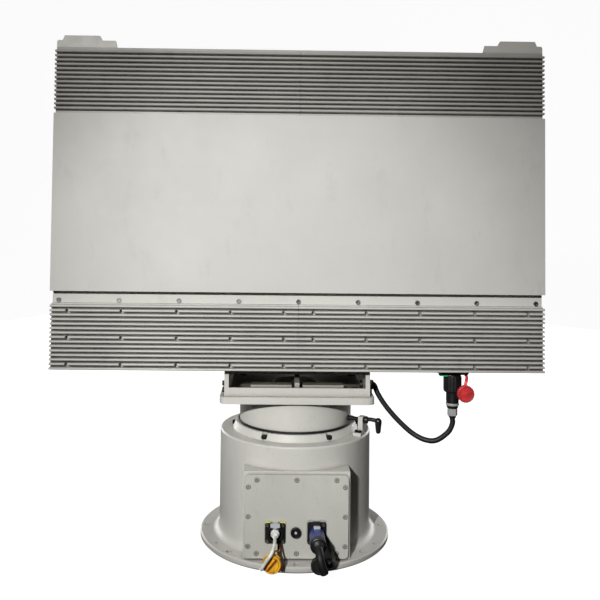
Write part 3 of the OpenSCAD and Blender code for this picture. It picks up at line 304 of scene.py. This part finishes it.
# Nodes whose look differs from their slot's usual one: copies with painted shade in corners and
# recesses, or darker all over
OWN_LOOK = {
    "cover_screws": "painted_screw", "hatch_cover": "hatch_paint_shaded", "mount_frame": "frame_paint_shaded",
    "turret_neck": "neck_paint_shaded", "heat_sink_top_left": "upper_fin_paint_shaded",
    "heat_sink_top_right": "upper_fin_paint_shaded",
}

for name, node in NODES.items():
    dress(node, OWN_LOOK.get(name, SLOTS[name]))
    soften(node, EDGE.get(name, USUAL_EDGE))


# ---------------------------------------------------------------- mesh building, in millimetres

def low(node):
    return Vector(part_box(node)[0]) / MM


def high(node):
    return Vector(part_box(node)[1]) / MM


def middle(node):
    return (low(node) + high(node)) / 2


# Faces that meet at a larger angle than this keep a crease
CREASE = math.radians(40)


def piece(name, bm, look, body, replaces=(), edge=0.0):
    """Makes a piece from a bmesh in millimetres, rounds its edges and lets it ride on a body."""
    bmesh.ops.remove_doubles(bm, verts=bm.verts, dist=0.002)
    bmesh.ops.recalc_face_normals(bm, faces=bm.faces)
    bmesh.ops.scale(bm, vec=(MM, MM, MM), verts=bm.verts)
    mesh = bpy.data.meshes.new(name)
    bm.to_mesh(mesh)
    bm.free()
    mesh.polygons.foreach_set("use_smooth", [True] * len(mesh.polygons))
    mesh.materials.append(LOOKS[look])
    obj = bpy.data.objects.new(name, mesh)
    bpy.context.scene.collection.objects.link(obj)
    if edge:
        round_off = obj.modifiers.new("edge", "BEVEL")
        round_off.width = edge * MM
        round_off.segments = 3
        round_off.limit_method = "ANGLE"
        round_off.angle_limit = CREASE
        shine = obj.modifiers.new("shine", "WEIGHTED_NORMAL")
        shine.weight = 60
    else:
        mesh.set_sharp_from_angle(angle=CREASE)
    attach(obj, body)
    if replaces:
        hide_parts(*replaces)
    return obj


def facing(direction):
    """Matrix that turns +Z to the direction."""
    return Vector(direction).to_track_quat("Z", "Y").to_matrix().to_4x4()


def lathe(bm, profile, place, direction, sides=64, wave=None):
    """Turned solid: profile holds (radius, height) pairs along the direction from the place.
    wave(angle, height) may scale the radius, for flutes and lobes."""
    turn = Matrix.Translation(place) @ facing(direction)
    rings = []
    for r, h in profile:
        if r < 1e-6:
            rings.append([bm.verts.new(turn @ Vector((0, 0, h)))])
            continue
        ring = []
        for k in range(sides):
            a = 2 * math.pi * k / sides
            out = r * (wave(a, h) if wave else 1)
            ring.append(bm.verts.new(turn @ Vector((out * math.cos(a), out * math.sin(a), h))))
        rings.append(ring)
    for a, b in zip(rings, rings[1:]):
        for k in range(sides):
            m = (k + 1) % sides
            corners = [a[k % len(a)], a[m % len(a)], b[m % len(b)], b[k % len(b)]]
            corners = list(dict.fromkeys(corners))
            if len(corners) > 2:
                bm.faces.new(corners)


def rounded(w, h, r, steps=6):
    """Outline of a rectangle with round corners."""
    points = []
    for i, (sx, sy) in enumerate(((1, 1), (-1, 1), (-1, -1), (1, -1))):
        for k in range(steps + 1):
            a = math.pi / 2 * (i + k / steps)
            points.append((sx * (w / 2 - r) + r * math.cos(a), sy * (h / 2 - r) + r * math.sin(a)))
    return points


def slab(bm, outline, place, direction, depth, spin=0.0):
    """Prism on an outline, starting at the place and growing along the direction."""
    turn = Matrix.Translation(place) @ facing(direction) @ Matrix.Rotation(spin, 4, "Z")
    base = [bm.verts.new(turn @ Vector((x, y, 0))) for x, y in outline]
    top = [bm.verts.new(turn @ Vector((x, y, depth))) for x, y in outline]
    bm.faces.new(base[::-1])
    bm.faces.new(top)
    for k in range(len(base)):
        m = (k + 1) % len(base)
        bm.faces.new((base[k], base[m], top[m], top[k]))


def smooth_path(points, steps):
    """Evenly stepped points on a smooth curve through the given points."""
    p = [Vector(q) for q in points]
    p = [p[0] * 2 - p[1]] + p + [p[-1] * 2 - p[-2]]
    path = []
    for a, b, c, d in zip(p, p[1:], p[2:], p[3:]):
        for s in range(steps):
            t = s / steps
            path.append(0.5 * (2 * b + (c - a) * t + (2 * a - 5 * b + 4 * c - d) * t * t
                               + (3 * b - a - 3 * c + d) * t ** 3))
    return path + [p[-2]]


def sweep(bm, points, outline, steps=8, size=None):
    """Carries a closed outline along a smooth path. size(share) may scale it along the way."""
    path = smooth_path(points, steps)
    side = Vector((1, 0.05, 0.02))
    rings = []
    for i, spot in enumerate(path):
        ahead = (path[min(i + 1, len(path) - 1)] - path[max(i - 1, 0)]).normalized()
        side = (side - ahead * side.dot(ahead)).normalized()
        other = ahead.cross(side)
        scale = size(i / (len(path) - 1)) if size else 1.0
        rings.append([bm.verts.new(spot + (side * x + other * y) * scale) for x, y in outline])
    for a, b in zip(rings, rings[1:]):
        for k in range(len(outline)):
            m = (k + 1) % len(outline)
            bm.faces.new((a[k], a[m], b[m], b[k]))
    bm.faces.new(rings[0][::-1])
    bm.faces.new(rings[-1])


def circle(r, sides=28):
    return [(r * math.cos(2 * math.pi * k / sides), r * math.sin(2 * math.pi * k / sides))
            for k in range(sides)]


FRONT = (0, -1, 0)
UP = (0, 0, 1)
DOWN = (0, 0, -1)
CAP_DEPTH = 7.0
NET = middle("network_socket")
POWER = middle("power_socket")
VENT = middle("vent_plug")
COVER = low("hatch_cover").y
JACK = middle("panel_socket")
RING = middle("coupling_ring")


# ---------------------------------------------------------------- pieces on the hatch cover

def network_lead():
    """White plug with a ribbed boot, and its cable."""
    x, z = NET.x, NET.z
    bm = bmesh.new()
    profile = [(0, -11.5), (6.2, -11.5), (6.2, 6.6), (5.6, 7.6)]
    for i in range(5):
        r = 5.1 - 0.35 * i
        h = 7.8 + 1.6 * i
        profile += [(r, h), (r, h + 0.9), (r - 0.9, h + 1.1), (r - 0.9, h + 1.5)]
    profile += [(2.9, 15.9), (0, 15.9)]
    lathe(bm, profile, (x, COVER, z), FRONT)
    piece("network_plug_boot", bm, "cable_white", "pedestal", ["network_plug"], edge=0.15)
    y = COVER - 15.6
    bm = bmesh.new()
    sweep(bm, [(x, y, z), (x, y - 4, z - 0.2), (x - 1, y - 11.5, z - 5), (x - 4, y - 16, z - 14),
               (x - 11, y - 18, z - 24), (x - 19.5, y - 19, z - 36)], circle(2.35), 10)
    piece("network_cable_jacket", bm, "cable_white", "pedestal", ["network_cable"])


def cap_body(bm, place, r, bar_turn):
    """Screw-on dust cap seen from its closed end: round rim, sunk face, raised finger bar and
    notched grip."""
    depth = CAP_DEPTH

    def grip(a, h):
        return 1 + (0.018 * math.cos(18 * a) if 1.2 < h < depth - 1.4 else 0)
    profile = [(0, 0), (r - 1.4, 0), (r - 0.5, 0.3), (r, 1.2), (r, 1.3), (r, depth - 1.5),
               (r, depth - 1.4), (r - 0.5, depth - 0.4), (r - 1.3, depth), (r - 2.6, depth),
               (r - 3.1, depth - 0.4), (r - 3.4, depth - 1.3), (0, depth - 1.3)]
    lathe(bm, profile, place, FRONT, 90, grip)
    front = Vector(place) + Vector(FRONT) * (depth - 1.35)
    slab(bm, rounded(2 * (r - 3.6), 3.2, 1.4), front, FRONT, 1.5, bar_turn)


def network_cap():
    """Yellow dust cap on its strap, with two thin cords beside it."""
    lo = low("network_dust_cap")
    r = 12.4
    place = Vector((lo.x + r, lo.y + 8.3, lo.z + r))
    bm = bmesh.new()
    cap_body(bm, place, r, math.radians(45))
    strap_ring = [(r - 0.6, 4.6), (r + 0.7, 4.6), (r + 1.0, 5.2), (r + 0.7, 5.8), (r - 0.6, 5.8),
                  (r - 0.6, 4.6)]
    lathe(bm, strap_ring, place + Vector((0, 5.2, 0)), FRONT, 72)
    x, z = NET.x, NET.z
    strap = [(x + 8, COVER - 3.4, z - 13.6), (x + 7, COVER - 6, z - 17),
             (x + 4.5, COVER - 12, z - 20), (place.x + 3, place.y - 1.5, place.z + r + 4),
             (place.x + 1.5, place.y - 1.5, place.z + r - 0.4)]
    sweep(bm, strap, rounded(3.4, 1.5, 0.6, 3), 8)
    piece("network_cap_yellow", bm, "cap_yellow", "pedestal", ["network_dust_cap"], edge=0.25)
    face = place + Vector(FRONT) * CAP_DEPTH
    # Brown bar over the cap's face: painted shade of its slot
    bm = bmesh.new()
    slab(bm, rounded(2 * r - 3.4, 3.0, 1.3), face + Vector((0, 1.2, 0)), FRONT, 1.6,
         math.radians(50))
    piece("network_cap_slot_shade", bm, "cap_slot_shade", "pedestal", edge=0.3)
    # Amber ring round the sunk face: painted shade in its groove
    bm = bmesh.new()
    lathe(bm, [(r - 3.7, -1.2), (r - 2.7, -1.2), (r - 2.7, 0.15), (r - 3.0, 0.3), (r - 3.4, 0.3),
               (r - 3.7, 0.15), (r - 3.7, -1.2)], face, FRONT, 72)
    piece("network_cap_groove_shade", bm, "cap_groove_shade", "pedestal")
    for i, (start, end) in enumerate(((4.5, 10.2), (8.5, 12.8))):
        bm = bmesh.new()
        sweep(bm, [(x + start, COVER - 3.4, z - 13.8), (x + start, COVER - 8, z - 18),
                   (x + start + 0.4, COVER - 15, z - 25), (x + end, place.y - 3, 15),
                   (x + end - 0.6, place.y - 3.4, 4)], circle(1.3, 16), 8)
        piece("cap_cord_%d" % (i + 1), bm, "cord_brown", "pedestal")


def socket_seals():
    """Corners of the flat seals that stand out above the two sockets, yellow on the left and
    pale on the right."""
    corner_w = 7.4
    corner_t = 2.2
    for name, spot, width, rise, look in (("network_socket_seal", NET, 27.4, 13.9, "seal_yellow"),
                                          ("power_socket_seal", POWER, 25.4, 15.6, "band_grey")):
        bm = bmesh.new()
        for side in (-1, 1):
            place = (spot.x + side * (width - corner_w) / 2, COVER - 0.01, spot.z + rise)
            slab(bm, rounded(corner_w, corner_t, 0.8), place, FRONT, corner_t)
        piece(name, bm, look, "pedestal", edge=0.2)


def latches():
    """Bright release tab over the network plug, and the sliding catch over the power plug."""
    lo, hi = low("network_latch"), high("network_latch")
    tall = hi.z - lo.z
    outline = [(-6.6, tall / 2 + 1.4), (-6.6, -0.4), (-2.6, -0.9), (0, -tall / 2 - 0.9),
               (2.6, -0.9), (6.6, -0.4), (6.6, tall / 2 + 1.4)]
    place = (middle("network_latch").x, hi.y, lo.z + tall / 2)
    bm = bmesh.new()
    slab(bm, [(-u, v) for u, v in outline], place, FRONT, hi.y - lo.y)
    piece("network_latch_tab", bm, "latch_metal", "network_latch", ["network_latch"], edge=0.35)
    lo, hi = low("power_latch"), high("power_latch")
    x = middle("power_latch").x
    bm = bmesh.new()
    slab(bm, rounded(9.0, 3.4, 1.0), (x, hi.y, lo.z + 1.7), FRONT, hi.y - lo.y)
    slab(bm, rounded(9.0, 2.2, 0.7), (x, lo.y + 3.0, lo.z + 4.2), FRONT, 3.0)
    piece("power_latch_catch", bm, "latch_metal", "power_latch", ["power_latch"], edge=0.3)


def power_lead():
    """Blue plug with a black gland nut and boot, and its heavy cable."""
    x, z = POWER.x, POWER.z
    face = low("power_socket").y

    def grips(a, h):
        return 1 + (0.02 * math.cos(10 * a) if 6 < h < 31 else 0)
    bm = bmesh.new()
    profile = [(0, 0), (9.4, 0), (9.8, 0.5), (9.8, 4.6), (10.4, 5.2), (10.4, 6.1), (10.2, 30.9),
               (10.4, 31.4), (10.4, 33.2), (9.8, 33.9), (0, 33.9)]
    lathe(bm, profile, (x, face, z), FRONT, 80, grips)
    piece("power_plug_shell", bm, "plug_blue", "pedestal", ["power_plug"], edge=0.2)

    def nut(a, h):
        return 1 + (0.025 * math.cos(16 * a) if 34.9 < h < 41.4 else 0)
    bm = bmesh.new()
    profile = [(0, 33.9), (10.4, 33.9), (11.0, 34.6), (11.0, 35), (11.0, 41.3), (11.0, 41.6),
               (10.3, 42.4), (8.7, 42.7), (8.6, 43.4)]
    for i in range(3):
        r = 8.4 - 0.6 * i
        h = 43.6 + 2.7 * i
        profile += [(r, h), (r, h + 1.6), (r - 1.0, h + 1.9), (r - 1.0, h + 2.5)]
    profile += [(5.8, 51.6), (0, 51.6)]
    lathe(bm, profile, (x, face, z), FRONT, 96, nut)
    piece("power_plug_gland", bm, "black_plastic", "pedestal", edge=0.2)
    y = face - 51.3
    bm = bmesh.new()
    sweep(bm, [(x, y, z), (x, y - 4, z - 0.3), (x + 1, y - 10.5, z - 6), (x + 3, y - 12.5, z - 14),
               (x + 7, y - 11.5, z - 26)], circle(5.5, 36), 10)
    piece("power_cable_jacket", bm, "cable_black", "pedestal", ["power_cable"])


def power_cap():
    """Black dust cap on its strap."""
    lo = low("power_dust_cap")
    r = 12.0
    place = Vector((lo.x + r, lo.y + 7, lo.z + r))
    bm = bmesh.new()
    cap_body(bm, place, r, math.radians(-60))
    x, z = POWER.x, POWER.z
    strap = [(x + 12.6, COVER - 2.2, z - 6), (x + 16.5, COVER - 8, z - 14),
             (x + 22, place.y - 1.6, z - 24), (x + 19.5, place.y - 3.4, place.z + 0.5),
             (place.x + r - 1, place.y - 3.4, place.z - 1)]
    sweep(bm, strap, rounded(5.2, 2.0, 0.8, 3), 8)
    piece("power_cap_black", bm, "black_rubber", "pedestal", ["power_dust_cap"], edge=0.25)


def vent():
    """Breather plug: black round rim with a sunk face and a bright pin in the middle."""
    bm = bmesh.new()
    profile = [(0, -10), (6.0, -10), (6.0, 0), (7.3, 0), (7.3, 3.0), (7.0, 3.7), (6.4, 4.0),
               (5.7, 3.8), (5.3, 3.2), (5.1, 1.4), (2.9, 1.2), (2.7, 1.8), (0, 1.8)]
    lathe(bm, profile, (VENT.x, COVER, VENT.z), FRONT, 64,
          lambda a, h: 1 + (0.012 * math.cos(24 * a) if 0.1 < h < 3.2 else 0))
    piece("vent_body", bm, "black_plastic", "pedestal", ["vent_plug"])
    bm = bmesh.new()
    lathe(bm, [(0, 1.6), (1.9, 1.6), (1.9, 2.6), (1.5, 3.2), (0.8, 3.5), (0, 3.6)],
          (VENT.x, COVER, VENT.z), FRONT, 32)
    piece("vent_pin", bm, "latch_metal", "pedestal")


# ---------------------------------------------------------------- pieces on the turret and the lock

def jumper_plug():
    """Jumper plug under the panel: tapered body, grey band, light grey gland nut and the
    curved cable."""
    x, y = JACK.x, RING.y
    top = high("panel_plug").z
    bottom = low("panel_plug").z
    bm = bmesh.new()
    body = bottom + 14
    profile = [(0, 0), (7.4, 0), (8.2, 1), (8.6, 4), (8.6, 6.4), (9.1, 7), (9.1, 9), (8.9, 9.6),
               (9.3, 12), (9.3, top - body), (0, top - body)]
    lathe(bm, profile, (x, y, body), UP, 64,
          lambda a, h: 1 + (0.015 * math.cos(12 * a) if 9.7 < h < 18 else 0))
    piece("jumper_plug_body", bm, "black_plastic", "turret", ["panel_plug"], edge=0.2)
    bm = bmesh.new()
    band = [(8.0, 4.3), (9.25, 4.3), (9.45, 4.7), (9.45, 7.4), (9.25, 7.8), (8.0, 7.8), (8.0, 4.3)]
    lathe(bm, band, (x, y, body), UP, 64)
    piece("jumper_plug_band", bm, "band_grey", "turret")
    bm = bmesh.new()
    hexagon = 6
    nut = [(0, 2.2), (5.4, 2.2), (6.4, 3.0), (7.6, 3.6), (7.6, 12.4), (7.0, 13.2), (6.6, 14.2),
           (0, 14.2)]
    lathe(bm, nut, (x, y, bottom), UP, hexagon)
    piece("jumper_plug_nut", bm, "band_grey", "turret", edge=0.6)
    bm = bmesh.new()
    lathe(bm, [(0, 0), (4.6, 0), (5.2, 0.8), (5.4, 2.6), (0, 2.6)], (x, y, bottom), UP, 40)
    piece("jumper_plug_seal", bm, "black_rubber", "turret")
    lead = Vector((low("panel_cable").x, middle("cable_gland").y, middle("cable_gland").z))
    # The hanging part of the run, on the same points as the panel_cable module in part.scad
    hanging = [(123, -48, 223), (135, -51, 205), (153, -55, 185), (173, -60, 168),
               (191, -66, 160), (207, -71, 161), (223, -75, 174)]
    run = [lead, lead + Vector((9.5, 0, 0)), *hanging, (x, y, bottom - 9), (x, y, bottom + 0.4)]
    bm = bmesh.new()
    sweep(bm, run, circle(3.85, 28), 10)
    piece("jumper_cable_jacket", bm, "cable_black", "turret", ["panel_cable"])


def knurled_ring():
    """Coupling ring with deep finger grooves and a plain lower lip."""
    lo, hi = low("coupling_ring"), high("coupling_ring")
    tall = hi.z - lo.z

    def lobes(a, h):
        if 1.8 < h < tall - 3.2:
            return 1 - 0.05 * max(0.0, math.cos(12 * a)) ** 2
        return 1
    bm = bmesh.new()
    outer = 13.2
    profile = [(9.5, 0.0), (11.6, 0.0), (12.3, 0.6), (12.4, 1.7), (outer, 2.0), (outer, 3),
               (outer, tall - 4), (outer, tall - 3.3), (12.2, tall - 3.0), (12.2, tall - 0.5),
               (11.8, tall), (10.9, tall), (10.9, 10.0), (9.5, 10.0), (9.5, 0.0)]
    lathe(bm, profile, (RING.x, RING.y, lo.z), UP, 144, lobes)
    piece("coupling_ring_grip", bm, "black_plastic", "coupling_ring", ["coupling_ring"], edge=0.12)


def jack_details():
    """Green seal that shows under the left end of the panel socket's flange, and two flange
    screws."""
    flange = low("panel_socket")
    flange_t = 7
    face = low("panel_chassis").z - flange_t
    bm = bmesh.new()
    slab(bm, rounded(13, 14, 3), (flange.x + 7.4, RING.y - 6.6, face), DOWN, 2.4)
    piece("panel_socket_tab", bm, "seal_green", "turret", edge=0.3)
    for i, (dx, dy) in enumerate(((-6.4, -11.6), (16.5, 10.5))):
        bm = bmesh.new()
        lathe(bm, [(0, 0), (2.5, 0), (2.5, 1.1), (2.0, 1.7), (1.2, 1.9), (1.1, 1.0), (0, 1.0)],
              (RING.x + dx, RING.y + dy, face), DOWN, 36)
        piece("panel_socket_screw_%d" % (i + 1), bm, "latch_metal", "turret")


def red_cap():
    """Red dust cap on its strap, hanging beside the jumper plug."""
    lo, hi = low("panel_dust_cap"), high("panel_dust_cap")
    r = 12.3
    place = Vector((hi.x - r, RING.y - 18, lo.z + r))
    bm = bmesh.new()
    cap_body(bm, place, r, math.radians(20))
    top = low("panel_chassis").z
    strap = [(RING.x + 17.5, RING.y - 6, top - 7.9), (RING.x + 18, RING.y - 12, top - 10),
             (place.x + 1.5, place.y - 1.5, top - 15),
             (place.x + 0.5, place.y - 2.4, place.z + r + 3),
             (place.x, place.y - 2.4, place.z + r - 0.6)]
    sweep(bm, strap, rounded(4.4, 1.7, 0.7, 3), 8)
    piece("panel_cap_red", bm, "cap_red", "turret", ["panel_dust_cap"], edge=0.25)


def lever():
    """Clamping lever: threaded stud, hub, cranked arm and a tapered fluted handle."""
    joints = frame["record"]["behaviour"]["joints"]
    joint = next(j for j in joints if j["name"] == "lock_turn")
    pivot = Vector(joint["pos_m"]) / MM
    out = -Vector(joint["axis"])
    z = pivot.z
    reach = pivot.xy.length
    stud_start = reach - 7.4
    hub = reach + 3.7
    arm_end = hub + 21.5
    bm = bmesh.new()
    stud = [(0, 0), (3.4, 0)]
    for i in range(10):
        stud += [(4.0, 0.6 + 1.1 * i), (3.5, 1.15 + 1.1 * i)]
    stud += [(3.7, 11.9), (0, 11.9)]
    lathe(bm, stud, out * stud_start + Vector((0, 0, z)), out, 40)
    piece("lock_lever_stud", bm, "black_screw", "lock_lever")
    bm = bmesh.new()
    lathe(bm, [(0, 0), (5.0, 0), (5.5, 0.5), (5.5, 4.2), (4.9, 5.0), (0, 5.0)],
          out * hub + Vector((0, 0, z)), out, 48)
    arm = [out * along + Vector((0, 0, z + rise))
           for along, rise in ((hub + 3.5, 0.8), (hub + 9, 1.6), (hub + 15, 1.2), (arm_end, 0.8))]
    sweep(bm, arm, circle(2.7, 24), 8, lambda t: 1 + 0.1 * math.sin(math.pi * t))
    flutes = [(0, 5.0), (1.8, 4.8), (3.6, 3.9), (4.8, 2.2), (5.2, 0.2), (5.1, -2), (4.7, -5),
              (4.3, -8.5), (4.0, -12), (3.7, -15), (3.1, -16.8), (1.8, -17.8), (0, -18.1)]
    lathe(bm, flutes, out * arm_end + Vector((0, 0, z)), UP, 72,
          lambda a, h: 1 - (0.06 * max(0.0, math.cos(9 * a)) if -15.5 < h < -1 else 0))
    piece("lock_lever_handle", bm, "black_lever", "lock_lever", ["lock_lever"], edge=0.15)


network_lead()
network_cap()
socket_seals()
latches()
power_lead()
power_cap()
vent()
jumper_plug()
knurled_ring()
jack_details()
red_cap()
lever()


# ---------------------------------------------------------------- stage, light and camera

def studio():
    """World that the camera sees as white and that throws almost no light."""
    world = bpy.data.worlds.new("studio")
    bpy.context.scene.world = world
    world.use_nodes = True
    tree = world.node_tree
    shine = tree.nodes["Background"]
    shine.inputs["Color"].default_value = (1, 1, 1, 1)
    shine.inputs["Strength"].default_value = 0.02
    seen = tree.nodes.new("ShaderNodeBackground")
    seen.inputs["Color"].default_value = (1, 1, 1, 1)
    path = tree.nodes.new("ShaderNodeLightPath")
    pick = tree.nodes.new("ShaderNodeMixShader")
    tree.links.new(path.outputs["Is Camera Ray"], pick.inputs[0])
    tree.links.new(shine.outputs[0], pick.inputs[1])
    tree.links.new(seen.outputs[0], pick.inputs[2])
    tree.links.new(pick.outputs[0], tree.nodes["World Output"].inputs[0])


def softbox(name, place, aim, size, power):
    """Round area lamp."""
    data = bpy.data.lights.new(name, "AREA")
    data.shape = "DISK"
    data.size = size
    data.energy = power
    lamp = bpy.data.objects.new(name, data)
    lamp.location = place
    lamp.rotation_euler = (Vector(aim) - Vector(place)).to_track_quat("-Z", "Y").to_euler()
    bpy.context.scene.collection.objects.link(lamp)


def spot(name, place, aim, spread, radius, power):
    """Lamp whose light fades from the middle of its cone to the rim."""
    data = bpy.data.lights.new(name, "SPOT")
    data.spot_size = math.radians(spread)
    data.spot_blend = 1.0
    data.shadow_soft_size = radius
    data.energy = power
    lamp = bpy.data.objects.new(name, data)
    lamp.location = place
    lamp.rotation_euler = (Vector(aim) - Vector(place)).to_track_quat("-Z", "Y").to_euler()
    bpy.context.scene.collection.objects.link(lamp)


def backdrop():
    """Pale floor that curves up behind the object. Only the camera sees it bright, and it throws
    little light back."""
    ground = CAD_BOX[0][2] - 0.2 * MM
    front, bend, radius, half_w, top = -3.0, 2.2, 1.2, 7.0, 5.0
    profile = [(front, 0.0)]
    profile += [(bend + radius * math.sin(a), radius * (1 - math.cos(a)))
                for a in (i * math.pi / 32 for i in range(17))]
    profile.append((bend + radius, top))
    bm = bmesh.new()
    rows = [[bm.verts.new((x, y, ground + z)) for y, z in profile] for x in (-half_w, half_w)]
    for i in range(len(profile) - 1):
        bm.faces.new((rows[0][i], rows[1][i], rows[1][i + 1], rows[0][i + 1])).smooth = True
    mesh = bpy.data.meshes.new("floor")
    bm.to_mesh(mesh)
    bm.free()
    obj = bpy.data.objects.new("floor", mesh)
    s = Surface("floor_paint")
    tone = s.mix(s.span(s.noise(3, 4), 0, 1), (0.30, 0.30, 0.295, 1), (0.34, 0.34, 0.335, 1))
    s.finish(Base_Color=tone, Roughness=0.7, Emission_Color=(1, 1, 1, 1), Emission_Strength=0.95)
    dull = s.node("ShaderNodeBsdfDiffuse", Color=(0.04, 0.04, 0.04, 1))
    pick = s.node("ShaderNodeMixShader", Fac=s.node("ShaderNodeLightPath").outputs["Is Camera Ray"])
    s.feed(pick.inputs[1], dull.outputs["BSDF"])
    s.feed(pick.inputs[2], s.shader.outputs["BSDF"])
    s.feed(s.tree.nodes["Material Output"].inputs["Surface"], pick.outputs["Shader"])
    mesh.materials.append(s.material)
    bpy.context.scene.collection.objects.link(obj)


def camera():
    """Camera with a level 36 mm sensor, turned, tipped and shifted as the photograph was taken."""
    place = Vector((-0.034, -1.1794, 0.4809))
    turn, tip, roll = (math.radians(a) for a in (0.839, 1.984, 0.612))
    data = bpy.data.cameras.new("camera")
    data.sensor_width = 36
    data.lens = 44.72
    data.shift_x = 0.0218
    data.shift_y = -0.1737
    data.clip_start = 0.01
    ahead = math.cos(tip)
    forward = Vector((math.sin(turn) * ahead, math.cos(turn) * ahead, math.sin(tip)))
    level = Vector((math.cos(turn), -math.sin(turn), 0))
    rise = level.cross(forward)
    right = level * math.cos(roll) + rise * math.sin(roll)
    up = rise * math.cos(roll) - level * math.sin(roll)
    cam = bpy.data.objects.new("camera", data)
    axes = Matrix((right, up, -forward)).transposed().to_4x4()
    cam.matrix_world = Matrix.Translation(place) @ axes
    bpy.context.scene.collection.objects.link(cam)
    bpy.context.scene.camera = cam


studio()
KEY_PLACE = (-0.56, -1.85, 1.0)
KEY_AIM = (0.0, -0.11, 0.35)
spot("key", KEY_PLACE, KEY_AIM, 30, 0.05, 105)
spot("key_wide", KEY_PLACE, KEY_AIM, 70, 0.05, 70)
softbox("fill", (0.3, -2.0, 1.0), (0, 0, 0.3), 1.0, 0.3)
for name, side in (("rear_left", -1), ("rear_right", 1)):
    softbox(name, (1.5 * side, 2.1, 0.55), (0, 0, 0.35), 1.5, 36)
backdrop()
camera()
bpy.context.scene.view_settings.view_transform = "Standard"
